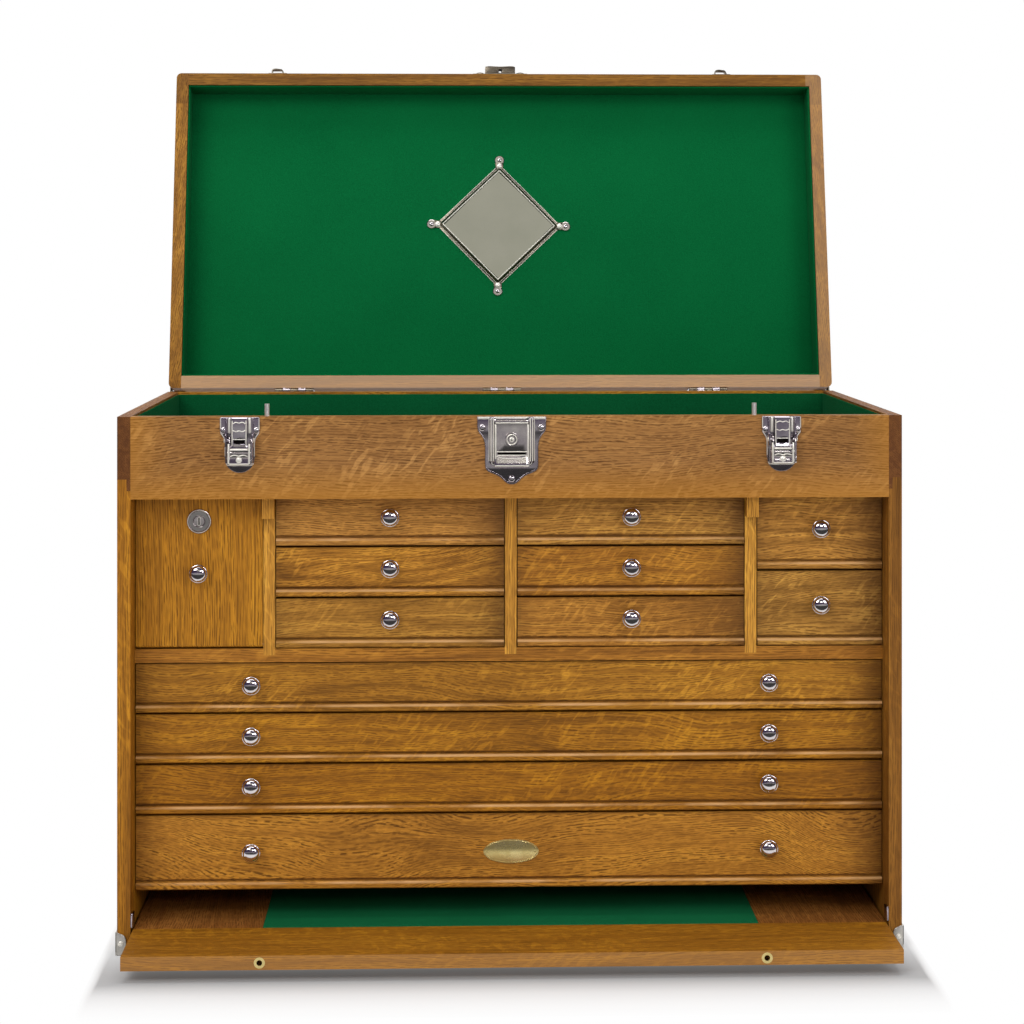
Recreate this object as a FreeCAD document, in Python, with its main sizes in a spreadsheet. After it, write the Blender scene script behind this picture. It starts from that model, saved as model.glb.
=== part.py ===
import FreeCAD, Part
import Sketcher
import math
import os
import re

# A machinist's tool chest in quartered oak: a case with a felt-lined till under a hinged lid, a drop
# door and eight small drawers over three long drawers and a deep one, and a front panel that is
# stowed flat under the deep drawer.  Millimetres, +Z up, the front faces -Y, and the origin is the
# centre of the case's underside.  The chest is drawn as it is used: lid up, front panel stowed.

# ---------------------------------------------------------------- driving sizes
SIZES = [
    # the case
    ("case_wide", 660.4),
    ("case_deep", 323.85),
    ("case_tall", 450.6),
    ("board_thick", 11.1),
    ("bottom_thick", 9.5),
    ("apron_tall", 69.2),
    ("joint_outer", 52.5),
    ("joint_inner", 62.1),
    ("joint_lap", 7.9),
    ("till_floor_thick", 6.4),
    ("felt_thick", 1.5),
    ("felt_drop", 2.0),
    # the drawer fronts, dividers and rail
    ("front_recess", 26.1),
    ("front_thick", 12.0),
    ("divider_thick", 10.0),
    ("side_column", 113.7),
    ("deep_drawer_base", 46.2),
    ("deep_drawer_pitch", 64.5),
    ("long_pitch", 43.0),
    ("rail_tall", 11.5),
    ("notch_deep", 5.6),
    ("front_gap", 1.8),
    ("side_gap", 0.8),
    ("lip_tall", 7.0),
    ("lip_out", 2.2),
    ("lip_round", 1.0),
    ("cove_deep", 1.3),
    ("cove_tall", 1.8),
    # the drawer boxes and their runners
    ("box_side", 8.0),
    ("box_floor", 4.0),
    ("box_rise", 1.5),
    ("box_drop", 3.0),
    ("box_rear_room", 4.0),
    ("runner_tall", 6.0),
    ("runner_reach", 4.2),
    ("runner_rise", 16.0),
    ("runner_start", 1.0),
    ("slide_fit", 0.3),
    # knobs
    ("knob_head", 7.95),
    ("knob_flange", 1.3),
    ("knob_dome", 7.15),
    ("knob_rise", 4.0),
    ("knob_stand", 7.8),
    ("knob_stem", 3.4),
    ("knob_foot", 5.2),
    ("knob_foot_thick", 1.2),
    ("knob_fillet", 0.6),
    ("long_knob_sink", 0.5),
    ("deep_knob_sink", 2.4),
    ("long_knob_in", 110.1),
    # the drop door
    ("door_gap", 0.6),
    ("door_top_gap", 1.2),
    ("door_thick", 12.0),
    ("door_axis_in", 3.0),
    ("door_pin", 1.5),
    ("door_pin_reach", 6.0),
    ("pivot_fit", 0.06),
    ("door_lock_down", 21.6),
    ("door_lock_head", 10.5),
    ("door_lock_face", 1.6),
    ("door_lock_barrel", 8.0),
    ("door_lock_tail", 6.0),
    # the front panel
    ("panel_side_room", 2.0),
    ("panel_thick", 11.4),
    ("panel_fit", 0.3),
    ("panel_rear_room", 10.35),
    ("panel_rail", 71.5),
    ("panel_stile", 108.0),
    ("stop_room", 0.6),
    ("stop_tall", 18.2),
    ("guide_low", 22.8),
    ("guide_tall", 12.0),
    ("guide_out", 2.2),
    ("guide_deep", 10.0),
    ("pin_in", 124.7),
    ("stop_pin", 2.0),
    ("pin_above", 10.3),
    ("pin_bore_fit", 0.08),
    ("bushing_wall", 2.2),
    ("bushing_deep", 12.0),
    ("bushing_room", 0.3),
    # the lid
    ("lid_tall", 38.0),
    ("lid_board", 12.2),
    ("lid_open_angle", 101.5),
    ("lid_corner", 5.0),
    ("lid_panel_thick", 6.4),
    ("rim_gap", 0.5),
    # the hinges
    ("hinge_out", 3.3),
    ("hinge_wide", 38.5),
    ("hinge_side_in", 124.2),
    ("leaf_tall", 17.5),
    ("leaf_thick", 1.2),
    ("knuckle", 2.6),
    ("knuckle_gap", 0.2),
    ("hinge_pin", 1.25),
    # the mirror in the lid
    ("mirror_side", 88.0),
    ("mirror_border", 4.4),
    ("mirror_bevel", 1.6),
    ("mirror_thick", 4.0),
    ("mirror_glass_thick", 2.0),
    ("mirror_ear", 5.2),
    ("mirror_ear_out", 69.0),
    ("mirror_ear_thick", 1.2),
    ("mirror_up", 9.5),
    ("mirror_aside", -1.8),
    # the centre lock
    ("plate_thick", 1.2),
    ("lock_half", 29.0),
    ("lock_waist", 22.4),
    ("lock_shoulder", 10.6),
    ("lock_neck", 22.0),
    ("lock_side_low", 43.6),
    ("lock_tip", 57.4),
    ("lock_tip_half", 6.5),
    ("rim_drop", 0.4),
    ("rib_half", 18.0),
    ("rib_thick", 3.1),
    ("rib_out", 4.6),
    ("rib_long", 41.5),
    ("lever_side_fit", 0.4),
    ("lever_thick", 1.8),
    ("lever_axis_down", 3.6),
    ("lever_axis_out", 3.4),
    ("lever_barrel", 2.2),
    ("lever_pin", 1.0),
    ("lever_slot_down", 29.7),
    ("lever_slot_tall", 2.5),
    ("lever_slot_margin", 2.6),
    ("lip_down", 41.4),
    ("lip_reach", 3.4),
    ("cylinder_down", 19.2),
    ("cylinder_face", 4.55),
    ("cylinder_proud", 1.0),
    ("cylinder_long", 3.4),
    # the draw latches
    ("latch_in", 102.4),
    ("latch_half", 16.7),
    ("latch_waist", 12.6),
    ("latch_shoulder", 15.0),
    ("latch_neck", 21.0),
    ("latch_side_low", 35.5),
    ("latch_tip", 47.0),
    ("latch_tip_half", 5.6),
    ("latch_round", 3.0),
    ("ear_half", 12.0),
    ("ear_thick", 1.6),
    ("ear_out", 7.0),
    ("ear_high", 14.0),
    ("ear_low", 25.6),
    ("latch_axis_down", 19.6),
    ("latch_axis_out", 4.5),
    ("latch_stub", 1.2),
    ("cheek_fit", 0.3),
    ("cheek_thick", 1.4),
    ("cheek_high", 3.0),
    ("cheek_back", 2.5),
    ("web_out", 3.8),
    ("web_thick", 1.4),
    ("web_high", 9.0),
    ("web_low", 20.0),
    ("claw_drop", 6.0),
    ("claw_barrel", 1.9),
    ("claw_stub", 1.0),
    ("claw_half", 6.6),
    ("claw_thick", 1.4),
    ("claw_top", 0.4),
    ("claw_hook", 3.2),
    ("claw_window_half", 4.6),
    ("claw_window_low", 3.2),
    ("claw_window_tall", 3.6),
    # the strikes on the lid
    ("strike_half", 9.8),
    ("strike_tall", 14.0),
    ("strike_rise", 2.0),
    ("strike_dome_half", 6.2),
    ("strike_dome_out", 6.6),
    ("strike_dome_tall", 6.0),
    ("lock_strike_half", 29.0),
    ("lock_strike_tall", 17.0),
    ("lock_strike_dome_half", 15.4),
    ("lock_strike_dome_out", 10.6),
    ("lock_strike_dome_tall", 10.0),
    # corner guards
    ("guard_thick", 1.4),
    ("guard_front", 7.6),
    ("guard_side", 19.0),
    ("guard_base", 0.5),
    ("guard_tall", 19.2),
    ("lid_guard_front", 14.0),
    ("lid_guard_side", 26.0),
    ("lid_guard_tall", 16.0),
    # end handles
    ("handle_height", 300.0),
    ("handle_half", 60.0),
    ("handle_axis_out", 7.2),
    ("handle_boss", 3.4),
    ("handle_boss_wide", 8.0),
    ("handle_plate_half", 9.0),
    ("handle_plate_tall", 30.0),
    ("handle_plate_thick", 1.5),
    ("handle_pin", 1.5),
    ("handle_arm_gap", 0.4),
    ("handle_arm_wide", 9.0),
    ("handle_drop", 36.0),
    ("handle_grip_tall", 17.0),
    ("handle_grip_thick", 7.8),
    ("handle_round", 3.0),
    # screw heads
    ("screw_head", 2.3),
    ("screw_tall", 0.9),
]

doc = FreeCAD.newDocument("tool_chest")
sheet = doc.addObject("Spreadsheet::Sheet", "size")
for row, (alias, number) in enumerate(SIZES, start=1):
    sheet.set("A%d" % row, alias)
    sheet.set("B%d" % row, str(number))
    sheet.setAlias("B%d" % row, alias)
doc.recompute()

WORD = re.compile(r"[a-z]+(?:_[a-z]+)*")
ALIASES = set(alias for alias, number in SIZES)


DERIVED = {
    "upper_tall": "(case_tall - apron_tall - deep_drawer_base - deep_drawer_pitch - 3*long_pitch"
                  " - rail_tall)",
    "column_spread": "(case_wide/2 - board_thick - side_column)",
    "long_knob_spread": "(case_wide/2 - long_knob_in)",
    "pin_spread": "(case_wide/2 - pin_in)",
    "hinge_spread": "(case_wide/2 - hinge_side_in)",
    "latch_spread": "(case_wide/2 - latch_in)",
    "door_lock_rise": "(upper_tall - door_lock_down)",
    "door_knob_rise": "(upper_tall/2)",
    "panel_wide": "(case_wide - 2*board_thick - 2*panel_side_room)",
    "panel_long": "(case_tall - apron_tall - bottom_thick - 2*panel_fit)",
    "panel_out": "(panel_long - case_deep + board_thick + panel_rear_room)",
}


def bound(text):
    """A size formula in words, with every size named as a cell of the sheet."""
    def cell(match):
        word = match.group(0)
        if word in DERIVED:
            return WORD.sub(cell, DERIVED[word])
        return "size." + word if word in ALIASES else word
    return WORD.sub(cell, str(text))


# ---------------------------------------------------------------- lines that the pieces share
FRONT = "(-case_deep/2)"
BACK = "(case_deep/2)"
OUTSIDE = "(case_wide/2)"
INSIDE = "(case_wide/2 - board_thick)"
BACK_FACE = "(case_deep/2 - board_thick)"
APRON_LOW = "(case_tall - apron_tall)"
FRONT_PLANE = "(-case_deep/2 + front_recess)"
FRONT_REAR = "(-case_deep/2 + front_recess + front_thick)"
RAIL_LOW = "(deep_drawer_base + deep_drawer_pitch + 3*long_pitch)"
RAIL_TOP = "(deep_drawer_base + deep_drawer_pitch + 3*long_pitch + rail_tall)"
UPPER_TALL = "(upper_tall)"
HINGE_Y = "(case_deep/2 + hinge_out)"
HINGE_Z = "(case_tall + rim_gap/2)"
# in the lid's own frame, whose origin is the hinge axis and whose axes are those of the closed lid
LID_FRONT = "(-case_deep - hinge_out)"
LID_BACK = "(-hinge_out)"
LID_LOW = "(rim_gap/2)"
LID_HIGH = "(rim_gap/2 + lid_tall)"
LID_CEILING = "(rim_gap/2 + lid_tall - lid_panel_thick)"
LID_INSIDE = "(case_wide/2 - lid_board)"
DOOR_LOW = "(%s + front_gap/2)" % RAIL_TOP
DOOR_TOP = "(case_tall - apron_tall - door_top_gap)"
PANEL_LOW = "(bottom_thick + panel_fit)"
PANEL_FRONT = "(-case_deep/2 - panel_out)"
PANEL_LONG = "(panel_long)"

NODES = []


def node(piece, label):
    """Name a finished sub-part: its label names its file."""
    piece.Label = label
    NODES.append(piece)
    return piece


def put(piece, x="0", y="0", z="0", turn=None):
    """Bind a piece's place to the sheet; turn is (axis, angle formula)."""
    if turn:
        axis, angle = turn
        piece.Placement = FreeCAD.Placement(FreeCAD.Vector(), FreeCAD.Rotation(axis, 1.0))
        piece.setExpression("Placement.Rotation.Angle", bound(angle))
    piece.setExpression("Placement.Base.x", bound(x))
    piece.setExpression("Placement.Base.y", bound(y))
    piece.setExpression("Placement.Base.z", bound(z))
    return piece


def on_lid(piece):
    """Carry a piece drawn in the lid's own frame to the open lid."""
    return put(piece, "0", HINGE_Y, HINGE_Z, (FreeCAD.Vector(-1, 0, 0), "lid_open_angle"))


def block(name, x, y, z):
    """A squared board or block between two formulas on each axis."""
    piece = doc.addObject("Part::Box", name)
    for side, (low, high) in (("Length", x), ("Width", y), ("Height", z)):
        piece.setExpression(side, bound("(%s) - (%s)" % (high, low)))
    return put(piece, x[0], y[0], z[0])


def rod(name, radius, length, x, y, z, along):
    """A round bar from a point towards +X, +Y or +Z."""
    piece = doc.addObject("Part::Cylinder", name)
    piece.setExpression("Radius", bound(radius))
    piece.setExpression("Height", bound(length))
    turns = {
        "x": (FreeCAD.Vector(0, 1, 0), "90"),
        "y": (FreeCAD.Vector(-1, 0, 0), "90"),
        "z": None,
    }
    return put(piece, x, y, z, turns[along])


def group(name, pieces):
    """Separate solids that belong to one sub-part."""
    whole = doc.addObject("Part::Compound", name)
    whole.Links = pieces
    return whole


def joined(name, pieces):
    whole = doc.addObject("Part::MultiFuse", name)
    whole.Shapes = pieces
    return whole


def cut(name, base, tools):
    """A base with one tool, or several fused ones, taken out."""
    whole = doc.addObject("Part::Cut", name)
    whole.Base = base
    whole.Tool = tools[0] if len(tools) == 1 else joined(name + "_tools", tools)
    return whole


def plane_of(body, role):
    return [item for item in body.Origin.OriginFeatures if item.Role == role][0]


def sketch_on(body, role, name):
    sketch = body.newObject("Sketcher::SketchObject", name)
    sketch.AttachmentSupport = [(plane_of(body, role), "")]
    sketch.MapMode = "FlatFace"
    return sketch


def hold(sketch, kind, where, formula):
    """A sketch dimension bound to the sheet."""
    number = sketch.addConstraint(Sketcher.Constraint(kind, *where))
    sketch.setExpression("Constraints[%d]" % number, bound(formula))


def outline(sketch, points):
    """A closed outline whose corners stand at pairs of formulas."""
    first = sketch.GeometryCount
    count = len(points)
    corners = []
    for step in range(count):
        angle = 2*math.pi*step/count
        corners.append(FreeCAD.Vector(math.cos(angle), math.sin(angle), 0))
    for step in range(count):
        sketch.addGeometry(Part.LineSegment(corners[step], corners[(step + 1) % count]), False)
    for step in range(count):
        after = first + (step + 1) % count
        sketch.addConstraint(Sketcher.Constraint("Coincident", first + step, 2, after, 1))
    for step, (across, up) in enumerate(points):
        corner = corners[step]
        hold(sketch, "DistanceX", (-1, 1, first + step, 1, corner.x), across)
        hold(sketch, "DistanceY", (-1, 1, first + step, 1, corner.y), up)


def ring(sketch, across, up, radius):
    """A circle about a pair of formulas."""
    number = sketch.GeometryCount
    centre = FreeCAD.Vector(1, 1, 0)
    sketch.addGeometry(Part.Circle(centre, FreeCAD.Vector(0, 0, 1), 1.0), False)
    hold(sketch, "DistanceX", (-1, 1, number, 3, centre.x), across)
    hold(sketch, "DistanceY", (-1, 1, number, 3, centre.y), up)
    hold(sketch, "Radius", (number, 1.0), radius)


def pad(body, sketch, length, backwards=False):
    feature = body.newObject("PartDesign::Pad", sketch.Name + "_pad")
    feature.Profile = sketch
    feature.Reversed = backwards
    feature.setExpression("Length", bound(length))
    doc.recompute()
    return feature


def pocket(body, sketch, length, backwards=False):
    """A pocket that must take something away."""
    before = body.Shape.Volume
    feature = body.newObject("PartDesign::Pocket", sketch.Name + "_pocket")
    feature.Profile = sketch
    feature.Reversed = backwards
    feature.setExpression("Length", bound(length))
    doc.recompute()
    if body.Shape.Volume >= before:
        raise ValueError("pocket %s cuts nothing" % sketch.Name)
    return feature


def soften(body, base, radius, wanted):
    """Round the edges of a feature that a test picks."""
    names = []
    for number, edge in enumerate(base.Shape.Edges, start=1):
        if wanted(edge):
            names.append("Edge%d" % number)
    feature = body.newObject("PartDesign::Fillet", body.Name + "_round")
    feature.Base = (base, names)
    feature.setExpression("Radius", bound(radius))
    doc.recompute()
    return feature


def runs_along(axis):
    """Picks straight edges parallel to X, Y or Z."""
    def test(edge):
        if len(edge.Vertexes) != 2:
            return False
        ends = edge.Vertexes[1].Point - edge.Vertexes[0].Point
        parts = {"x": (ends.y, ends.z), "y": (ends.x, ends.z), "z": (ends.x, ends.y)}
        return edge.Length > 0.01 and max(abs(part) for part in parts[axis]) < 1e-6
    return test


def prism(name, role, points, length, backwards=False, holes=()):
    """A body padded from one outline; holes are circles in the same sketch."""
    body = doc.addObject("PartDesign::Body", name)
    sketch = sketch_on(body, role, name + "_outline")
    outline(sketch, points)
    for hole in holes:
        ring(sketch, *hole)
    feature = pad(body, sketch, length, backwards)
    return body, feature


def mirrored_points(half):
    """A left and right outline from its right half, given from the top down."""
    left = [("-(%s)" % across, up) for across, up in reversed(half)]
    return half + left


def rectangle(left, right, low, high):
    return [(left, low), (right, low), (right, high), (left, high)]


def screw_head(name, x, y, z, along="y"):
    """A low screw head that stands on its plate, towards -Y, -X or +X."""
    if along == "y":
        return rod(name, "screw_head", "screw_tall", x, "(%s) - screw_tall" % y, z, "y")
    return rod(name, "screw_head", "screw_tall", x, y, z, "x")


# ---------------------------------------------------------------- the case
def make_end(name, side):
    """An end: an upright board lapped under a top rail.  side is -1 or 1."""
    face = "%d*%s" % (side, OUTSIDE)
    lap = "%d*(case_wide/2 - joint_lap)" % side
    inner = "%d*%s" % (side, INSIDE)
    outer_low = "case_tall - joint_outer"
    inner_low = "case_tall - joint_inner"
    rail_points = [(face, "case_tall"), (inner, "case_tall"), (inner, inner_low),
                   (lap, inner_low), (lap, outer_low), (face, outer_low)]
    board_points = [(face, outer_low), (lap, outer_low), (lap, inner_low),
                    (inner, inner_low), (inner, "0"), (face, "0")]
    rail, rail_pad = prism(name + "_rail", "XZ_Plane", rail_points, "case_deep")
    board, board_pad = prism(name + "_board", "XZ_Plane", board_points, "case_deep")
    for piece in (rail, board):
        put(piece, "0", BACK, "0")
    return node(group(name, [rail, board]), name)


def make_case():
    make_end("end_left", -1)
    make_end("end_right", 1)
    node(make_back(), "back_board")
    node(block("bottom_board", ("-%s" % INSIDE, INSIDE), (FRONT, BACK_FACE), ("0", "bottom_thick")),
         "bottom_board")
    node(make_apron(), "apron")
    apron_rear = "(%s + board_thick)" % FRONT
    node(block("till_floor", ("-%s" % INSIDE, INSIDE), (apron_rear, BACK_FACE),
               (APRON_LOW, "%s + till_floor_thick" % APRON_LOW)), "till_floor")
    node(make_till_felt(apron_rear), "till_felt")
    node(make_shelf(), "mid_shelf")
    node(make_dividers(), "dividers")


def make_back():
    return block("back_board", ("-%s" % INSIDE, INSIDE), (BACK_FACE, BACK), ("0", "case_tall"))


def make_apron():
    """The board over the drawers, bored upright for the two stop pins."""
    board = block("apron_plank", ("-%s" % INSIDE, INSIDE), (FRONT, "%s + board_thick" % FRONT),
                  (APRON_LOW, "case_tall"))
    bores = []
    for number, place in enumerate(("-pin_spread", "pin_spread")):
        bores.append(rod("pin_bore_%d" % number, "stop_pin + pin_bore_fit", "apron_tall",
                         place, "%s + board_thick/2" % FRONT, APRON_LOW, "z"))
    return cut("apron", board, bores)


def make_till_felt(apron_rear):
    """The till's lining: its floor and four walls."""
    low = "(%s + till_floor_thick)" % APRON_LOW
    top_of_floor = "(%s + felt_thick)" % low
    high = "(case_tall - felt_drop)"
    inner_x = "(%s - felt_thick)" % INSIDE
    sheets = [
        block("felt_floor", ("-%s" % INSIDE, INSIDE), (apron_rear, BACK_FACE), (low, top_of_floor)),
        block("felt_front", ("-%s" % INSIDE, INSIDE), (apron_rear, "%s + felt_thick" % apron_rear),
              (top_of_floor, high)),
        block("felt_back", ("-%s" % INSIDE, INSIDE), ("%s - felt_thick" % BACK_FACE, BACK_FACE),
              (top_of_floor, high)),
    ]
    for side, (left, right) in (("left", ("-%s" % INSIDE, "-%s" % inner_x)),
                                ("right", (inner_x, INSIDE))):
        sheets.append(block("felt_" + side, (left, right),
                            ("%s + felt_thick" % apron_rear, "%s - felt_thick" % BACK_FACE),
                            (top_of_floor, high)))
    return group("till_felt", sheets)


DIVIDER_PLACES = ("-column_spread", "0", "column_spread")


def make_shelf():
    """The shelf between the upper and the long drawers, notched for the dividers."""
    board = block("shelf_plank", ("-%s" % INSIDE, INSIDE), (FRONT_PLANE, BACK_FACE),
                  (RAIL_LOW, RAIL_TOP))
    notches = []
    for number, place in enumerate(DIVIDER_PLACES):
        notches.append(block("shelf_notch_%d" % number,
                             ("%s - divider_thick/2" % place, "%s + divider_thick/2" % place),
                             (FRONT_PLANE, BACK_FACE), ("%s - notch_deep" % RAIL_TOP, RAIL_TOP)))
    return cut("mid_shelf", board, notches)


def make_dividers():
    """Three upright dividers, and the two blocks that keep the raised front panel forward."""
    pieces = []
    for number, place in enumerate(DIVIDER_PLACES):
        across = ("%s - divider_thick/2" % place, "%s + divider_thick/2" % place)
        pieces.append(block("divider_%d" % number, across, (FRONT_PLANE, BACK_FACE),
                            ("%s - notch_deep" % RAIL_TOP, APRON_LOW)))
        if place != "0":
            pieces.append(block("panel_stop_%d" % number, across,
                                ("%s + panel_thick + stop_room" % FRONT, FRONT_PLANE),
                                ("%s - stop_tall" % APRON_LOW, APRON_LOW)))
    return group("dividers", pieces)


# ---------------------------------------------------------------- drawers
LEFT_WALL = "(-case_wide/2 + board_thick)"
RIGHT_WALL = INSIDE
COLUMN_EDGES = {
    "left": ("(-column_spread + divider_thick/2)", "(-divider_thick/2)"),
    "centre": ("(divider_thick/2)", "(column_spread - divider_thick/2)"),
    "right": ("(column_spread + divider_thick/2)", RIGHT_WALL),
    "long": (LEFT_WALL, RIGHT_WALL),
}


def drawer_list():
    """Every drawer: its name, column, base level, pitch and where its knobs stand."""
    rows = []
    third = "(%s/3)" % UPPER_TALL
    half = "(%s/2)" % UPPER_TALL
    for column in ("left", "centre"):
        left, right = COLUMN_EDGES[column]
        middle = "(%s + %s)/2" % (left, right)
        for step, tier in ((2, "top"), (1, "middle"), (0, "bottom")):
            rows.append(("%s_%s" % (column, tier), column, "(%s + %d*%s)" % (RAIL_TOP, step, third),
                         third, [middle]))
    left, right = COLUMN_EDGES["right"]
    for step, tier in ((1, "top"), (0, "bottom")):
        rows.append(("right_" + tier, "right", "(%s + %d*%s)" % (RAIL_TOP, step, half),
                     half, ["(%s + %s)/2" % (left, right)]))
    pair = ["-long_knob_spread", "long_knob_spread"]
    for step, tier in ((2, "top"), (1, "middle"), (0, "bottom")):
        level = "(deep_drawer_base + deep_drawer_pitch + %d*long_pitch)" % step
        rows.append(("long_" + tier, "long", level, "long_pitch", pair))
    rows.append(("deep", "long", "deep_drawer_base", "deep_drawer_pitch", pair))
    return rows


def front_profile(tall):
    """The front's section, from its back: a bead along the foot with a cove over it."""
    return [("front_thick", "0"), ("-lip_out + lip_round", "0"), ("-lip_out", "lip_round"),
            ("-lip_out", "lip_tall - 2*lip_round"), ("-lip_out + lip_round", "lip_tall - lip_round"),
            ("cove_deep", "lip_tall - lip_round/2"), ("cove_deep", "lip_tall + cove_tall/2"),
            ("0", "lip_tall + cove_tall"), ("0", "%s - lip_round/2" % tall),
            ("lip_round/2", tall), ("front_thick", tall)]


def make_drawer(name, column, level, pitch, knobs):
    left, right = COLUMN_EDGES[column]
    x_low = "(%s + side_gap)" % left
    x_high = "(%s - side_gap)" % right
    low = "(%s + front_gap/2)" % level
    tall = "(%s - front_gap)" % pitch
    front, front_pad = prism("front_" + name, "YZ_Plane", front_profile(tall),
                             "(%s) - (%s)" % (x_high, x_low))
    put(front, x_low, FRONT_PLANE, low)
    box_low = "(%s + box_rise)" % low
    box_high = "(%s + %s - box_drop)" % (low, tall)
    box_rear = "(%s - box_rear_room)" % BACK_FACE
    groove_low = "(%s + runner_rise - slide_fit)" % level
    groove_high = "(%s + runner_rise + runner_tall + slide_fit)" % level
    groove_deep = "(runner_reach - side_gap + slide_fit)"
    pieces = [front]
    for side, edge, inward in (("left", x_low, ""), ("right", x_high, "-")):
        points = [("0", box_low), ("%sbox_side" % inward, box_low), ("%sbox_side" % inward, box_high),
                  ("0", box_high), ("0", groove_high), ("%s%s" % (inward, groove_deep), groove_high),
                  ("%s%s" % (inward, groove_deep), groove_low), ("0", groove_low)]
        board, board_pad = prism("side_%s_%s" % (name, side), "XZ_Plane", points,
                                 "(%s) - (%s)" % (box_rear, FRONT_REAR))
        put(board, edge, box_rear, "0")
        pieces.append(board)
    inner_x = ("%s + box_side" % x_low, "%s - box_side" % x_high)
    pieces.append(block("rear_" + name, inner_x, ("%s - box_side" % box_rear, box_rear),
                        (box_low, box_high)))
    pieces.append(block("floor_" + name, inner_x, (FRONT_REAR, "%s - box_side" % box_rear),
                        (box_low, "%s + box_floor" % box_low)))
    node(group("drawer_" + name, pieces), "drawer_" + name)
    sink = {"long": "long_knob_sink"}.get(column, "0")
    if name == "deep":
        sink = "deep_knob_sink"
    knob_height = "(%s + (%s + lip_tall)/2 - %s)" % (level, pitch, sink)
    made = []
    for number, place in enumerate(knobs):
        made.append(make_knob("knob_%s_%d" % (name, number), place, FRONT_PLANE, knob_height))
    node(made[0] if len(made) == 1 else group("knob_" + name, made), "knob_" + name)


def make_knob(name, x, y, z):
    """A turned knob: foot, stem, flange and stepped dome, standing out towards -Y."""
    dome = "(knob_stand + knob_flange)"
    profile = [("0", "0"), ("knob_foot", "0"), ("knob_foot", "knob_foot_thick"),
               ("knob_stem", "knob_foot_thick + knob_fillet"), ("knob_stem", "knob_stand - knob_fillet"),
               ("knob_head - knob_fillet", "knob_stand"), ("knob_head", "knob_stand + knob_flange/3"),
               ("knob_head", dome), ("knob_dome", dome),
               ("knob_dome*0.93", "%s + knob_rise*0.38" % dome),
               ("knob_dome*0.70", "%s + knob_rise*0.74" % dome),
               ("knob_dome*0.38", "%s + knob_rise*0.94" % dome), ("0", "%s + knob_rise" % dome)]
    body = doc.addObject("PartDesign::Body", name)
    sketch = sketch_on(body, "XZ_Plane", name + "_profile")
    outline(sketch, profile)
    turned = body.newObject("PartDesign::Revolution", name + "_turning")
    turned.Profile = sketch
    turned.ReferenceAxis = (sketch, ["V_Axis"])
    turned.Angle = 360.0
    doc.recompute()
    return put(body, x, y, z, (FreeCAD.Vector(1, 0, 0), "90"))


def make_runners(rows):
    """A strip on each side of every drawer, from just behind its front to the back board."""
    strips = []
    for name, column, level, pitch, knobs in rows:
        left, right = COLUMN_EDGES[column]
        tall = ("%s + runner_rise" % level, "%s + runner_rise + runner_tall" % level)
        along = ("%s + runner_start" % FRONT_REAR, BACK_FACE)
        strips.append(block("runner_%s_left" % name, (left, "%s + runner_reach" % left), along, tall))
        strips.append(block("runner_%s_right" % name, ("%s - runner_reach" % right, right), along, tall))
    return node(group("drawer_runners", strips), "drawer_runners")


# ---------------------------------------------------------------- the drop door
def make_door():
    left = "(%s + door_gap)" % LEFT_WALL
    right = "(-column_spread - divider_thick/2 - door_gap)"
    middle = "(%s - column_spread - divider_thick/2)/2" % LEFT_WALL
    body, board = prism("door_plank", "YZ_Plane",
                        rectangle("0", "door_thick", "0", "%s - %s" % (DOOR_TOP, DOOR_LOW)),
                        "(%s) - (%s)" % (right, left))

    def lower_front(edge):
        centre = edge.CenterOfMass
        return runs_along("x")(edge) and abs(centre.y) < 1e-6 and abs(centre.z) < 1e-6

    soften(body, board, "door_axis_in", lower_front)
    put(body, left, FRONT_PLANE, DOOR_LOW)
    axis_y = "(%s + door_axis_in)" % FRONT_PLANE
    axis_z = "(%s + door_axis_in)" % DOOR_LOW
    deep = "(door_pin_reach + pivot_fit)"
    bores = [rod("door_bore_left", "door_pin + pivot_fit", deep, left, axis_y, axis_z, "x"),
             rod("door_bore_right", "door_pin + pivot_fit", deep,
                 "%s - %s" % (right, deep), axis_y, axis_z, "x"),
             rod("door_lock_bore", "door_lock_barrel + pivot_fit", "door_thick",
                 middle, FRONT_PLANE, "%s + door_lock_rise" % RAIL_TOP, "y")]
    node(cut("door", body, bores), "door")
    node(make_knob("door_knob", middle, FRONT_PLANE, "%s + door_knob_rise" % RAIL_TOP), "door_knob")
    node(make_door_lock(middle), "door_lock")
    pins = [rod("door_pin_left", "door_pin", "door_gap + door_pin_reach", LEFT_WALL, axis_y, axis_z, "x"),
            rod("door_pin_right", "door_pin", "door_gap + door_pin_reach",
                "%s - door_pin_reach" % right, axis_y, axis_z, "x")]
    return pins


def make_door_lock(middle):
    """The key cylinder through the door, with its cam behind."""
    height = "(%s + door_lock_rise)" % RAIL_TOP
    face = rod("door_lock_rim", "door_lock_head", "door_lock_face", middle,
               "%s - door_lock_face" % FRONT_PLANE, height, "y")
    barrel = rod("door_lock_body", "door_lock_barrel", "door_thick + door_lock_tail", middle,
                 FRONT_PLANE, height, "y")
    rear = "(%s + door_thick)" % FRONT_PLANE
    cam = block("door_lock_cam", ("%s - door_lock_tail/2" % middle, "%s + door_lock_tail/2" % middle),
                ("%s + door_lock_tail/2" % rear, "%s + door_lock_tail" % rear),
                (height, "%s + 2*door_lock_barrel" % height))
    slot = block("door_lock_slot", ("%s - plate_thick/2" % middle, "%s + plate_thick/2" % middle),
                 ("%s - door_lock_face" % FRONT_PLANE, FRONT_PLANE),
                 ("%s - door_lock_head/3" % height, "%s + door_lock_head/3" % height))
    return cut("door_lock", joined("door_lock_solid", [face, barrel, cam]), [slot])


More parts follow.
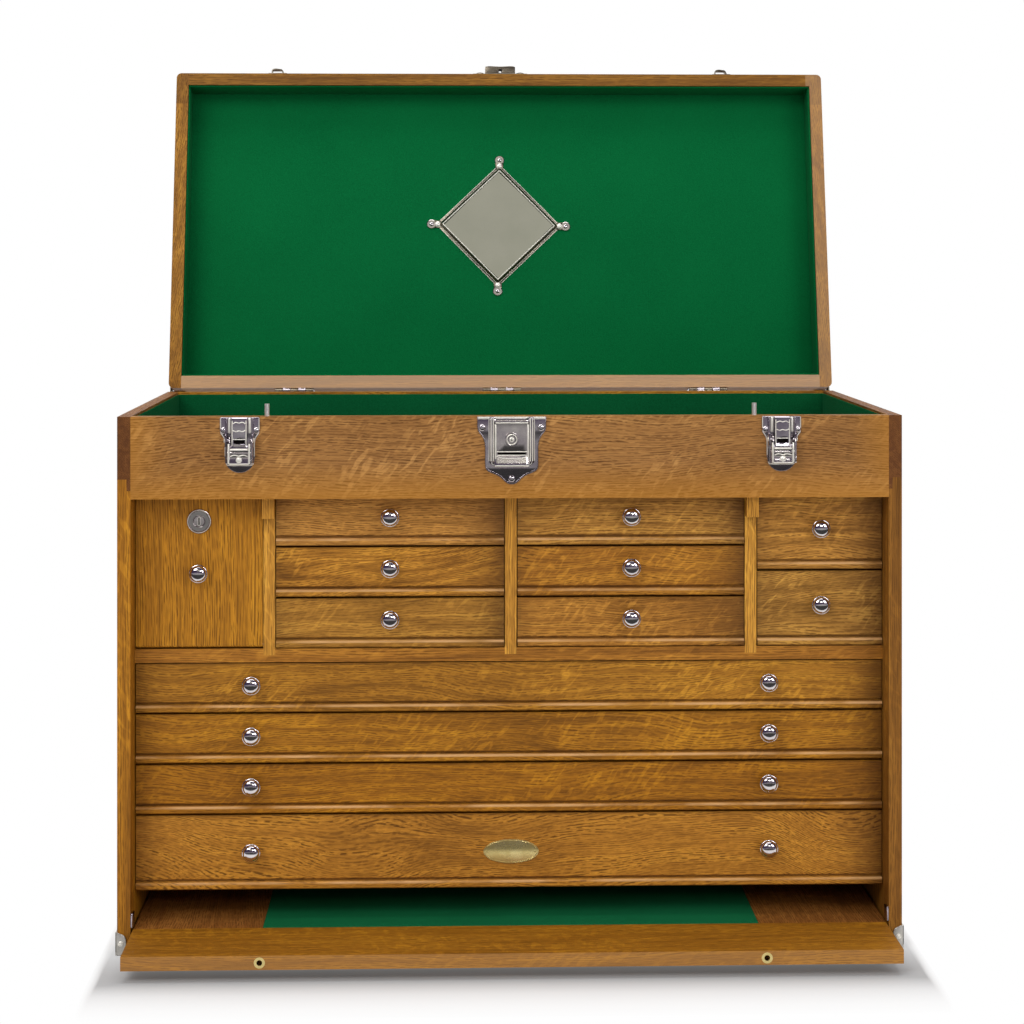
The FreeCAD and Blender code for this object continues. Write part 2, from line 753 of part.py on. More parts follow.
# ---------------------------------------------------------------- the front panel
def make_panel():
    """The panel that closes the front, stowed: rails, stiles, a field and its felt."""
    half = "(panel_wide/2)"
    high = "(%s + panel_thick)" % PANEL_LOW
    rear = "(%s + %s)" % (PANEL_FRONT, PANEL_LONG)
    rail_rear = "(%s + panel_rail)" % PANEL_FRONT
    rail_front = "(%s - panel_rail)" % rear
    field_half = "(%s - panel_stile)" % half
    upright = (PANEL_LOW, high)
    rail = block("panel_rail_plank", ("-%s" % half, half), (PANEL_FRONT, rail_rear), upright)
    bores = []
    bushings = []
    for number, place in enumerate(("-pin_spread", "pin_spread")):
        middle = "(%s + panel_thick/2)" % PANEL_LOW
        outer = "(stop_pin + bushing_room + bushing_wall)"
        bores.append(rod("bushing_bore_%d" % number, outer, "bushing_deep", place, PANEL_FRONT, middle, "y"))
        sleeve = rod("bushing_sleeve_%d" % number, outer, "bushing_deep", place, PANEL_FRONT, middle, "y")
        hollow = rod("bushing_hollow_%d" % number, "stop_pin + bushing_room", "bushing_deep",
                     place, PANEL_FRONT, middle, "y")
        bushings.append(cut("bushing_%d" % number, sleeve, [hollow]))
    boards = [cut("panel_rail_bored", rail, bores),
              block("panel_foot", ("-%s" % half, half), (rail_front, rear), upright),
              block("panel_stile_left", ("-%s" % half, "-%s" % field_half), (rail_rear, rail_front), upright),
              block("panel_stile_right", (field_half, half), (rail_rear, rail_front), upright),
              block("panel_field", ("-%s" % field_half, field_half), (rail_rear, rail_front),
                    (PANEL_LOW, "%s - felt_thick" % high))]
    node(group("front_panel", boards), "front_panel")
    node(block("panel_felt", ("-%s" % field_half, field_half), (rail_rear, rail_front),
               ("%s - felt_thick" % high, high)), "panel_felt")
    node(group("panel_bushings", bushings), "panel_bushings")


def make_stop_pins():
    """Upright pins that the closing lid pushes down into the raised panel's bushings."""
    for label, place in (("stop_pin_left", "-pin_spread"), ("stop_pin_right", "pin_spread")):
        node(rod(label, "stop_pin", "apron_tall + pin_above", place,
                 "%s + board_thick/2" % FRONT, APRON_LOW, "z"), label)


# ---------------------------------------------------------------- the lid
def make_lid():
    make_lid_frame()
    node(on_lid(block_in_lid("lid_panel", ("-%s" % LID_INSIDE, LID_INSIDE),
                             ("%s + lid_board" % LID_FRONT, "%s - lid_board" % LID_BACK),
                             (LID_CEILING, LID_HIGH))), "lid_panel")
    make_lid_felt()
    make_mirror()


def block_in_lid(name, x, y, z):
    """One block of the lid, in a compound that carries it to the open lid."""
    return group(name, [block(name + "_plank", x, y, z)])


def make_lid_frame():
    """Four boards: the two sides run from front to back and round the corners."""
    boards = []
    for side, sign in (("left", -1), ("right", 1)):
        outer = "%d*%s" % (sign, OUTSIDE)
        inner = "%d*%s" % (sign, LID_INSIDE)
        body, board = prism("lid_side_" + side, "XY_Plane",
                            rectangle(outer, inner, LID_FRONT, LID_BACK), "lid_tall")

        def outer_corner(edge, reach=sign):
            return runs_along("z")(edge) and edge.CenterOfMass.x*reach > board_middle(body)

        soften(body, board, "lid_corner", outer_corner)
        put(body, "0", "0", LID_LOW)
        boards.append(body)
    boards.append(block("lid_front_board", ("-%s" % LID_INSIDE, LID_INSIDE),
                        (LID_FRONT, "%s + lid_board" % LID_FRONT), (LID_LOW, LID_HIGH)))
    boards.append(block("lid_rear_board", ("-%s" % LID_INSIDE, LID_INSIDE),
                        ("%s - lid_board" % LID_BACK, LID_BACK), (LID_LOW, LID_HIGH)))
    node(on_lid(group("lid_frame", boards)), "lid_frame")


def board_middle(body):
    """How far from the middle of the chest the centre of an end board stands."""
    return abs(body.Shape.BoundBox.Center.x)


def make_lid_felt():
    inner_front = "(%s + lid_board)" % LID_FRONT
    inner_back = "(%s - lid_board)" % LID_BACK
    low = "(%s + felt_drop)" % LID_LOW
    high = "(%s - felt_thick)" % LID_CEILING
    sheets = [
        block("lid_felt_top", ("-%s" % LID_INSIDE, LID_INSIDE), (inner_front, inner_back), (high, LID_CEILING)),
        block("lid_felt_front", ("-%s" % LID_INSIDE, LID_INSIDE),
              (inner_front, "%s + felt_thick" % inner_front), (low, high)),
        block("lid_felt_back", ("-%s" % LID_INSIDE, LID_INSIDE),
              ("%s - felt_thick" % inner_back, inner_back), (low, high)),
    ]
    inner_x = "(%s - felt_thick)" % LID_INSIDE
    for side, across in (("left", ("-%s" % LID_INSIDE, "-%s" % inner_x)), ("right", (inner_x, LID_INSIDE))):
        sheets.append(block("lid_felt_" + side, across,
                            ("%s + felt_thick" % inner_front, "%s - felt_thick" % inner_back),
                            (low, high)))
    node(on_lid(group("lid_felt", sheets)), "lid_felt")


MIRROR_Y = "(-hinge_out - case_deep/2 - mirror_up)"
MIRROR_Z = "(%s - felt_thick)" % LID_CEILING


def make_mirror():
    """A square mirror on its point, in a bevelled metal frame with four screwed ears."""
    half = "(mirror_side/2)"
    body = doc.addObject("PartDesign::Body", "mirror_rim")
    square = sketch_on(body, "XY_Plane", "mirror_square")
    outline(square, rectangle("-%s" % half, half, "-%s" % half, half))
    slab = pad(body, square, "mirror_thick", True)

    def front_edge(edge):
        return edge.CenterOfMass.z < slab.Shape.BoundBox.ZMin + 1e-6

    names = ["Edge%d" % number for number, edge in enumerate(slab.Shape.Edges, start=1) if front_edge(edge)]
    bevel = body.newObject("PartDesign::Chamfer", "mirror_rim_bevel")
    bevel.Base = (slab, names)
    bevel.setExpression("Size", bound("mirror_bevel"))
    doc.recompute()
    window = sketch_on(body, "XY_Plane", "mirror_window")
    glass_half = "(mirror_side/2 - mirror_border)"
    outline(window, rectangle("-%s" % glass_half, glass_half, "-%s" % glass_half, glass_half))
    pocket(body, window, "mirror_thick", False)
    glass = block("mirror_pane", ("-%s" % glass_half, glass_half), ("-%s" % glass_half, glass_half),
                  ("-mirror_glass_thick", "0"))
    diagonal = (FreeCAD.Vector(0, 0, 1), "45")
    turned_frame = put(group("mirror_rim_turned", [body]), "mirror_aside", MIRROR_Y, MIRROR_Z, diagonal)
    turned_glass = put(group("mirror_pane_turned", [glass]), "mirror_aside", MIRROR_Y, MIRROR_Z, diagonal)
    ears = []
    heads = []
    for number, (across, up) in enumerate(((1, 0), (0, 1), (-1, 0), (0, -1))):
        x = "(mirror_aside + %d*mirror_ear_out)" % across
        y = "(%s + %d*mirror_ear_out)" % (MIRROR_Y, up)
        ears.append(rod("mirror_ear_%d" % number, "mirror_ear", "mirror_ear_thick", x, y,
                        "%s - mirror_ear_thick" % MIRROR_Z, "z"))
        ears.append(block("mirror_strap_%d" % number,
                          ("%s - %s" % (x, "mirror_ear/2 + %d*mirror_ear/2" % abs(across)),
                           "%s + %s" % (x, "mirror_ear/2 + %d*mirror_ear/2" % abs(across))),
                          ("%s - %s" % (y, "mirror_ear/2 + %d*mirror_ear/2" % abs(up)),
                           "%s + %s" % (y, "mirror_ear/2 + %d*mirror_ear/2" % abs(up))),
                          ("%s - mirror_ear_thick" % MIRROR_Z, MIRROR_Z)))
        heads.append(rod("mirror_screw_%d" % number, "screw_head", "screw_tall", x, y,
                         "%s - mirror_ear_thick - screw_tall" % MIRROR_Z, "z"))
    pane = "(%s)" % glass_half
    room = block("mirror_room", ("-%s" % pane, pane), ("-%s" % pane, pane), ("-mirror_thick", "0"))
    turned_room = put(group("mirror_room_turned", [room]), "mirror_aside", MIRROR_Y, MIRROR_Z, diagonal)
    frame = cut("mirror_frame_solid", joined("mirror_frame_whole", [turned_frame] + ears), [turned_room])
    node(on_lid(group("mirror_frame", [frame] + heads)), "mirror_frame")
    node(on_lid(group("mirror_glass", [turned_glass])), "mirror_glass")


# ---------------------------------------------------------------- hinges
def knuckle_spans():
    """Five knuckles share the leaf's width: the case leaf has the odd ones."""
    spans = []
    for step in range(5):
        low = "(-hinge_wide/2 + %d*hinge_wide/5 + knuckle_gap/2)" % step
        high = "(-hinge_wide/2 + %d*hinge_wide/5 - knuckle_gap/2)" % (step + 1)
        spans.append((low, high))
    return spans


def make_leaf(name, place, steps, y_axis, z_axis, y_plate, z_plate, z_web):
    """A leaf screwed to the outside of its board, with its knuckles about the axis."""
    parts = [block(name + "_plate", ("%s - hinge_wide/2" % place, "%s + hinge_wide/2" % place),
                   y_plate, z_plate)]
    for step in steps:
        low, high = knuckle_spans()[step]
        x = ("%s + %s" % (place, low), "%s + %s" % (place, high))
        parts.append(block("%s_web_%d" % (name, step), x, y_plate, z_web))
        parts.append(rod("%s_knuckle_%d" % (name, step), "knuckle", "(%s) - (%s)" % (high, low),
                         x[0], y_axis, z_axis, "x"))
    bore = rod(name + "_bore", "hinge_pin + pivot_fit", "hinge_wide", "%s - hinge_wide/2" % place,
               y_axis, z_axis, "x")
    return cut(name, joined(name + "_solid", parts), [bore])


def make_hinges():
    case_side = []
    lid_side = []
    reach = "(knuckle + knuckle_gap)"
    for number, place in enumerate(("-hinge_spread", "0", "hinge_spread")):
        case_side.append(make_leaf("case_leaf_%d" % number, place, (0, 2, 4), HINGE_Y, HINGE_Z,
                                   (BACK, "%s + leaf_thick" % BACK),
                                   ("%s - %s - leaf_tall" % (HINGE_Z, reach), "%s - %s" % (HINGE_Z, reach)),
                                   ("%s - %s" % (HINGE_Z, reach), HINGE_Z)))
        case_side.append(rod("hinge_pin_%d" % number, "hinge_pin", "hinge_wide",
                             "%s - hinge_wide/2" % place, HINGE_Y, HINGE_Z, "x"))
        lid_side.append(make_leaf("lid_leaf_%d" % number, place, (1, 3), "0", "0",
                                  (LID_BACK, "%s + leaf_thick" % LID_BACK),
                                  (reach, "%s + leaf_tall" % reach), ("0", reach)))
    node(group("case_hinge_leaves", case_side), "case_hinge_leaves")
    return lid_side


# ---------------------------------------------------------------- the centre lock
PLATE_FACE = "(-case_deep/2 - plate_thick)"
LEVER_Y = "(-case_deep/2 - plate_thick - lever_axis_out)"
LEVER_Z = "(case_tall - lever_axis_down)"
LEVER_HALF = "(rib_half - rib_thick - lever_side_fit)"


def make_lock():
    half = [("lock_half", "-rim_drop"), ("lock_half", "-lock_shoulder"), ("lock_waist", "-lock_neck"),
            ("lock_waist", "-lock_side_low"),
            ("2*lock_tip_half", "-lock_side_low/2 - lock_tip/2 + lock_tip_half/4"),
            ("lock_tip_half", "-lock_tip + lock_tip_half/2"), ("lock_tip_half/2", "-lock_tip")]
    body, slab = prism("lock_slab", "XZ_Plane", mirrored_points(half), "plate_thick")

    def low_corner(edge):
        return runs_along("y")(edge) and edge.CenterOfMass.z < slab.Shape.BoundBox.ZMax - 1

    soften(body, slab, "lock_tip_half/4", low_corner)
    put(body, "0", FRONT, "case_tall")
    ribs = []
    for side, sign in (("left", -1), ("right", 1)):
        inner = "%d*(rib_half - rib_thick)" % sign
        outer = "%d*rib_half" % sign
        across = (outer, inner) if sign < 0 else (inner, outer)
        ribs.append(block("lock_rib_" + side, across, ("%s - rib_out" % PLATE_FACE, PLATE_FACE),
                          ("case_tall - rib_long", "case_tall - rim_drop")))
    pin_bore = rod("lock_pin_bore", "lever_pin", "2*rib_half", "-rib_half", LEVER_Y, LEVER_Z, "x")
    plate = cut("lock_plate_solid", joined("lock_plate_whole", [body] + ribs), [pin_bore])
    pin = rod("lock_pin", "lever_pin", "2*rib_half", "-rib_half", LEVER_Y, LEVER_Z, "x")
    screws = [screw_head("lock_screw_%d" % number, x, PLATE_FACE, z) for number, (x, z) in enumerate((
        ("-lock_half/2 - rib_half/2 - knuckle_gap", "case_tall - lock_shoulder + screw_tall"),
        ("lock_half/2 + rib_half/2 + knuckle_gap", "case_tall - lock_shoulder + screw_tall"),
        ("0", "case_tall - lock_tip + lock_tip_half/2 + screw_tall")))]
    node(group("lock_plate", [plate, pin] + screws), "lock_plate")
    make_lock_lever()


def make_lock_lever():
    """The flap: a barrel at its head, a slot across it and a finger lip at its foot."""
    inner = "(%s - lever_thick/2)" % "0"
    front = "(-lever_thick)"
    slot_low = "(lever_axis_down - lever_slot_down - lever_slot_tall)"
    foot = "(lever_axis_down - lip_down)"
    profile = [(front, "0"), ("0", "0"), ("0", slot_low), ("-lip_reach + lever_thick", foot),
               ("-lip_reach", foot), (front, slot_low)]
    flap, flap_pad = prism("lock_flap", "YZ_Plane", profile, "2*%s" % LEVER_HALF)
    put(flap, "-%s" % LEVER_HALF, LEVER_Y, LEVER_Z)
    barrel = rod("lock_barrel", "lever_barrel", "2*%s" % LEVER_HALF, "-%s" % LEVER_HALF,
                 LEVER_Y, LEVER_Z, "x")
    slot_half = "(%s - lever_slot_margin)" % LEVER_HALF
    slot = block("lock_flap_slot", ("-%s" % slot_half, slot_half),
                 ("%s - 2*lever_thick" % LEVER_Y, "%s + lever_thick" % LEVER_Y),
                 ("case_tall - lever_slot_down - lever_slot_tall", "case_tall - lever_slot_down"))
    bore = rod("lock_flap_bore", "lever_pin + pivot_fit", "2*%s" % LEVER_HALF, "-%s" % LEVER_HALF,
               LEVER_Y, LEVER_Z, "x")
    key_z = "(case_tall - cylinder_down)"
    key_bore = rod("lock_key_bore", "cylinder_face + pivot_fit", "3*lever_thick", "0",
                   "%s - 2*lever_thick" % LEVER_Y, key_z, "y")
    node(cut("lock_lever", joined("lock_lever_solid", [flap, barrel]), [slot, bore, key_bore]),
         "lock_lever")
    face = "(%s - lever_thick - cylinder_proud)" % LEVER_Y
    plug = rod("lock_plug", "cylinder_face", "cylinder_long", "0", face, key_z, "y")
    keyway = block("lock_keyway", ("-lever_pin/2", "lever_pin/2"), (face, "%s + cylinder_proud" % face),
                   ("%s - cylinder_face/2" % key_z, "%s + cylinder_face/2" % key_z))
    node(cut("lock_cylinder", plug, [keyway]), "lock_cylinder")


# ---------------------------------------------------------------- the draw latches
LATCH_Y = "(-case_deep/2 - plate_thick - latch_axis_out)"
LATCH_Z = "(case_tall - latch_axis_down)"
CHEEK_OUT = "(ear_half - ear_thick - cheek_fit)"
CHEEK_IN = "(ear_half - ear_thick - cheek_fit - cheek_thick)"


def make_latch_plate(name, place):
    half = [("latch_half", "-rim_drop"), ("latch_half", "-latch_shoulder"),
            ("latch_waist", "-latch_neck"), ("latch_waist", "-latch_side_low"),
            ("2*latch_tip_half", "-latch_side_low/2 - latch_tip/2"),
            ("latch_tip_half", "-latch_tip + latch_tip_half/5"), ("latch_tip_half/2", "-latch_tip")]
    body, slab = prism(name + "_slab", "XZ_Plane", mirrored_points(half), "plate_thick")

    def low_corner(edge):
        return runs_along("y")(edge) and edge.CenterOfMass.z < slab.Shape.BoundBox.ZMax - 1

    soften(body, slab, "latch_round", low_corner)
    put(body, place, FRONT, "case_tall")
    parts = [body]
    stubs = []
    for side, sign in (("left", -1), ("right", 1)):
        span = sorted_span(place, sign, "(ear_half - ear_thick)", "ear_half")
        parts.append(block("%s_ear_%s" % (name, side), span, ("%s - ear_out" % PLATE_FACE, PLATE_FACE),
                           ("case_tall - ear_low", "case_tall - ear_high")))
        stub_span = sorted_span(place, sign, CHEEK_IN, "ear_half")
        stubs.append(rod("%s_stub_%s" % (name, side), "latch_stub", "ear_half - %s" % CHEEK_IN,
                         stub_span[0], LATCH_Y, LATCH_Z, "x"))
    bores = [rod("%s_stub_bore" % name, "latch_stub", "2*ear_half", "%s - ear_half" % place,
                 LATCH_Y, LATCH_Z, "x")]
    plate = cut(name + "_plate", joined(name + "_whole", parts), bores)
    reach = "(latch_half/2 + ear_half/2)"
    screws = [screw_head(name + "_screw_left", "%s - %s" % (place, reach), PLATE_FACE,
                         "case_tall - latch_shoulder"),
              screw_head(name + "_screw_right", "%s + %s" % (place, reach), PLATE_FACE,
                         "case_tall - latch_shoulder")]
    return [plate] + stubs + screws


def sorted_span(place, sign, near, far):
    """The span from near to far on one side of a place, lower end first."""
    if sign > 0:
        return ("%s + %s" % (place, near), "%s + %s" % (place, far))
    return ("%s - %s" % (place, far), "%s - %s" % (place, near))


def make_latch_lever(label, place):
    """A bail: two cheeks that turn on the plate's stubs, joined by a thumb web."""
    parts = []
    for side, sign in (("left", -1), ("right", 1)):
        span = sorted_span(place, sign, CHEEK_IN, CHEEK_OUT)
        parts.append(block("%s_cheek_%s" % (label, side), span,
                           ("%s - web_out" % LATCH_Y, "%s + cheek_back" % LATCH_Y),
                           ("%s - web_low" % LATCH_Z, "%s + cheek_high" % LATCH_Z)))
    parts.append(block(label + "_web", ("%s - %s" % (place, CHEEK_OUT), "%s + %s" % (place, CHEEK_OUT)),
                       ("%s - web_out" % LATCH_Y, "%s - web_out + web_thick" % LATCH_Y),
                       ("%s - web_low" % LATCH_Z, "%s - web_high" % LATCH_Z)))
    start = "%s - %s" % (place, CHEEK_OUT)
    wide = "2*%s" % CHEEK_OUT
    bores = [rod(label + "_pivot", "latch_stub + pivot_fit", wide, start, LATCH_Y, LATCH_Z, "x"),
             rod(label + "_claw_bore", "claw_stub + pivot_fit", wide, start, LATCH_Y,
                 "%s - claw_drop" % LATCH_Z, "x")]
    node(cut(label, joined(label + "_solid", parts), bores), label)


def make_latch_claw(label, place):
    """The claw: a barrel between the cheeks, a windowed strap and a hook at its head."""
    axis_z = "(%s - claw_drop)" % LATCH_Z
    barrel_half = "(%s - cheek_fit)" % CHEEK_IN
    y_span = ("%s - claw_thick" % LATCH_Y, LATCH_Y)
    strap = block(label + "_strap", ("%s - claw_half" % place, "%s + claw_half" % place), y_span,
                  (axis_z, "case_tall - claw_top"))
    barrel = rod(label + "_barrel", "claw_barrel", "2*%s" % barrel_half,
                 "%s - %s" % (place, barrel_half), LATCH_Y, axis_z, "x")
    stub = rod(label + "_stub", "claw_stub", "2*%s" % CHEEK_OUT, "%s - %s" % (place, CHEEK_OUT),
               LATCH_Y, axis_z, "x")
    hook = block(label + "_hook", ("%s - claw_half" % place, "%s + claw_half" % place),
                 (LATCH_Y, "%s + claw_hook" % LATCH_Y),
                 ("case_tall - claw_top - claw_thick", "case_tall - claw_top"))
    window = block(label + "_window",
                   ("%s - claw_window_half" % place, "%s + claw_window_half" % place), y_span,
                   ("%s + claw_window_low" % axis_z, "%s + claw_window_low + claw_window_tall" % axis_z))
    node(cut(label, joined(label + "_solid", [strap, barrel, stub, hook]), [window]), label)


def make_latches():
    plates = []
    for side, place in (("left", "(-latch_spread)"), ("right", "latch_spread")):
        plates += make_latch_plate("latch_" + side, place)
        make_latch_lever("latch_lever_" + side, place)
        make_latch_claw("latch_claw_" + side, place)
    node(group("latch_plates", plates), "latch_plates")


# ---------------------------------------------------------------- fittings
def make_strike(name, place, half, tall, dome_half, dome_out, dome_tall):
    """A plate on the lid's front board with a raised catch."""
    low = "(%s + strike_rise)" % LID_LOW
    plate = block(name + "_plate", ("%s - %s" % (place, half), "%s + %s" % (place, half)),
                  ("%s - plate_thick" % LID_FRONT, LID_FRONT), (low, "%s + %s" % (low, tall)))
    base = "(%s + (%s - %s)/2)" % (low, tall, dome_tall)
    body, slab = prism(name + "_dome", "YZ_Plane",
                       [("0", "0"), ("0", dome_tall), ("-%s/2" % dome_out, dome_tall),
                        ("-%s" % dome_out, "%s*3/4" % dome_tall), ("-%s" % dome_out, "%s/4" % dome_tall),
                        ("-%s/2" % dome_out, "0")], "2*%s" % dome_half)
    put(body, "%s - %s" % (place, dome_half), LID_FRONT, base)
    return joined(name, [plate, body])


def make_guard(name, sign_x, front_y, outward, front_leg, side_leg, low, high):
    """A bent corner plate: outward is -1 on a front corner and 1 on a rear one."""
    x_out = "%d*(case_wide/2 + guard_thick)" % sign_x
    x_face = "%d*case_wide/2" % sign_x
    x_in = "%d*(case_wide/2 - %s)" % (sign_x, front_leg)
    y_out = "(%s + %d*guard_thick)" % (front_y, outward)
    y_in = "(%s - %d*%s)" % (front_y, outward, side_leg)
    points = [(x_out, y_out), (x_in, y_out), (x_in, front_y), (x_face, front_y), (x_face, y_in), (x_out, y_in)]
    body, slab = prism(name, "XY_Plane", points, "(%s) - (%s)" % (high, low))
    put(body, "0", "0", low)
    return body


def make_lid_fittings(lid_leaves):
    pieces = list(lid_leaves)
    for side, place in (("left", "(-latch_spread)"), ("right", "latch_spread")):
        pieces.append(make_strike("latch_strike_" + side, place, "strike_half", "strike_tall",
                                  "strike_dome_half", "strike_dome_out", "strike_dome_tall"))
    pieces.append(make_strike("lock_strike", "0", "lock_strike_half", "lock_strike_tall",
                              "lock_strike_dome_half", "lock_strike_dome_out", "lock_strike_dome_tall"))
    for number, (sign_x, edge, outward) in enumerate(((-1, LID_FRONT, -1), (1, LID_FRONT, -1),
                                                      (-1, LID_BACK, 1), (1, LID_BACK, 1))):
        pieces.append(make_guard("lid_guard_%d" % number, sign_x, edge, outward, "lid_guard_front",
                                 "lid_guard_side", "%s - lid_guard_tall" % LID_HIGH, LID_HIGH))
    node(on_lid(group("lid_fittings", pieces)), "lid_fittings")


def make_ear_set(name, sign):
    """Two ears on an end, each a screwed plate with a boss and the pin the handle swings on."""
    axis_x = "%d*(case_wide/2 + handle_axis_out)" % sign
    pieces = []
    for side, reach in (("front", -1), ("rear", 1)):
        near = "(%d*handle_half)" % reach
        across = sorted_span("0", sign, OUTSIDE, "(case_wide/2 + handle_plate_thick)")
        plate = block("%s_%s_plate" % (name, side), across,
                      ("%s - handle_plate_half" % near, "%s + handle_plate_half" % near),
                      ("handle_height - handle_plate_tall/2", "handle_height + handle_plate_tall/2"))
        arm = sorted_span("0", sign, "(case_wide/2)", "(case_wide/2 + handle_axis_out)")
        wide = ("%s - handle_boss_wide/2" % near, "%s + handle_boss_wide/2" % near)
        neck = block("%s_%s_neck" % (name, side), arm, wide,
                     ("handle_height - handle_boss/2", "handle_height + handle_boss/2"))
        boss = rod("%s_%s_boss" % (name, side), "handle_boss", "handle_boss_wide", axis_x, wide[0],
                   "handle_height", "y")
        if reach < 0:
            start = "%s - handle_boss_wide/2" % near
        else:
            start = "%s - handle_boss_wide/2 - handle_arm_gap - handle_arm_wide" % near
        pin = rod("%s_%s_pin" % (name, side), "handle_pin",
                  "handle_boss_wide + handle_arm_gap + handle_arm_wide", axis_x, start,
                  "handle_height", "y")
        pieces.append(joined("%s_%s" % (name, side), [plate, neck, boss, pin]))
    return pieces


def make_handle(label, sign):
    """A thick leather grip that hangs between the ears."""
    outer = "(handle_half - handle_boss_wide/2 - handle_arm_gap)"
    inner = "(%s - handle_arm_wide)" % outer
    low = "(-handle_drop)"
    grip_top = "(%s + handle_grip_tall)" % low
    head = "(handle_boss + knuckle_gap)"
    points = [("-%s" % outer, head), ("-%s" % inner, head), ("-%s" % inner, grip_top),
              (inner, grip_top), (inner, head), (outer, head), (outer, low), ("-%s" % outer, low)]
    body, slab = prism(label + "_grip", "YZ_Plane", points, "handle_grip_thick")

    def outside_corner(edge):
        return runs_along("x")(edge) and edge.CenterOfMass.z < slab.Shape.BoundBox.ZMin + 1

    soften(body, slab, "handle_round*2", outside_corner)
    put(body, "%d*(case_wide/2 + handle_axis_out) - handle_grip_thick/2" % sign, "0", "handle_height")
    bore = rod(label + "_bore", "handle_pin + pivot_fit", "2*%s" % outer,
               "%d*(case_wide/2 + handle_axis_out)" % sign, "-%s" % outer, "handle_height", "y")
    node(cut(label, body, [bore]), label)


def make_case_fittings(door_pins):
    pieces = list(door_pins)
    for number, (sign_x, edge, outward) in enumerate(((-1, FRONT, -1), (1, FRONT, -1),
                                                      (-1, BACK, 1), (1, BACK, 1))):
        pieces.append(make_guard("case_guard_%d" % number, sign_x, edge, outward, "guard_front",
                                 "guard_side", "guard_base", "guard_base + guard_tall"))
        if outward < 0:
            pieces.append(screw_head("guard_screw_%d" % number, "%d*(case_wide/2 - guard_front/2)" % sign_x,
                                     "%s - guard_thick" % FRONT, "guard_base + guard_tall/2"))
    for side, sign in (("left", -1), ("right", 1)):
        span = sorted_span("0", sign, "(case_wide/2 - board_thick - guide_out)", INSIDE)
        pieces.append(block("panel_guide_" + side, span, (FRONT, "%s + guide_deep" % FRONT),
                            ("guide_low", "guide_low + guide_tall")))
        pieces += make_ear_set("handle_ears_" + side, sign)
    node(group("case_fittings", pieces), "case_fittings")


# ---------------------------------------------------------------- build, check and write
make_case()
ROWS = drawer_list()
for row in ROWS:
    make_drawer(*row)
make_runners(ROWS)
DOOR_PINS = make_door()
make_panel()
make_stop_pins()
make_lid()
LID_LEAVES = make_hinges()
make_lock()
make_latches()
make_lid_fittings(LID_LEAVES)
make_handle("handle_left", -1)
make_handle("handle_right", 1)
make_case_fittings(DOOR_PINS)
doc.recompute()

for item in doc.Objects:
    if "Invalid" in item.State or "Error" in item.State:
        raise ValueError("%s failed: %s" % (item.Name, item.State))

os.makedirs("parts", exist_ok=True)
for piece in NODES:
    shape = piece.Shape
    if shape.isNull() or not shape.isValid() or not shape.Solids:
        raise ValueError("%s has no sound solid" % piece.Label)
    shape.exportStep("parts/%s.step" % piece.Label)
print("%d sub-parts, %d solids" % (len(NODES), sum(len(piece.Shape.Solids) for piece in NODES)))
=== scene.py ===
import math
from functools import partialmethod

import bmesh
import bpy
from mathutils import Matrix, Vector


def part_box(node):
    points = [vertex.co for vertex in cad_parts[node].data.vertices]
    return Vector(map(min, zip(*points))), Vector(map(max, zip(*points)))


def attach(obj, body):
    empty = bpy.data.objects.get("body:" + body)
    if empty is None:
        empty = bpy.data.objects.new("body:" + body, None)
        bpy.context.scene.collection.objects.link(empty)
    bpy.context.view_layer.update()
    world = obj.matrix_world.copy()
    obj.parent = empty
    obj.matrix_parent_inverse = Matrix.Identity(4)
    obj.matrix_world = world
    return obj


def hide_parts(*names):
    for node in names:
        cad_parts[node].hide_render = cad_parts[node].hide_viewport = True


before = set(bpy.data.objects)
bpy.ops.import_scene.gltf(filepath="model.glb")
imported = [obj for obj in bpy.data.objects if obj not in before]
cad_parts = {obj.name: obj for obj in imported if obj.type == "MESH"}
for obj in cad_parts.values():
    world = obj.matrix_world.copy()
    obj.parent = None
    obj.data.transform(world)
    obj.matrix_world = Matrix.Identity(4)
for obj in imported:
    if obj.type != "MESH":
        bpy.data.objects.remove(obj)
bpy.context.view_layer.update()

MM = 0.001

# places on the chest, in millimetres
CASE_FRONT = -161.925
PLATE_FACE = -163.125
KNOB_FACE = -135.825
RIM = 450.6
END_FACE = 330.2
END_INSIDE = 319.1
TILL_HALF = 150.825
APRON_FOOT = 381
DRAWER_LIP = 12
GUARD_THICK = 1.4

# the felt field of the front panel
FIELD_SIDE, FIELD_FRONT, FIELD_REAR = 209.1, -159.325, 69.0

# the middle of each draw latch
LATCHES = (("left", -227.8), ("right", 227.8))

# y and z of the pins that the levers turn on
LATCH_PIN = (-167.625, 431.0)
CLAW_PIN = (-167.625, 425.0)
LOCK_PIN = (-166.525, 447.0)

# x and z of the grips' pins
GRIP_PIN_OUT, GRIP_PIN_HIGH = 337.4, 300.0

# the lid is drawn shut, with its hinge axis at the origin, and then set open
HINGE_Y, HINGE_Z = 165.225, 450.85
LID_LEAN = 101.5
LID_FACE = -327.15
LID_REAR = -3.3
LID_INSIDE = 318.0
LID_PLACE = Matrix.Translation((0, HINGE_Y, HINGE_Z)) @ Matrix.Rotation(math.radians(-LID_LEAN), 4, "X")
IN_LID = Matrix.Rotation(math.radians(90), 4, "X")


# ---------------------------------------------------------------- node and colour helpers
def ink(red, green, blue):
    """A colour as it looks on a paint card, turned to the values light works with."""
    def channel(value):
        value = value / 255.0
        return value / 12.92 if value <= 0.04045 else ((value + 0.055) / 1.055) ** 2.4
    return (channel(red), channel(green), channel(blue), 1.0)


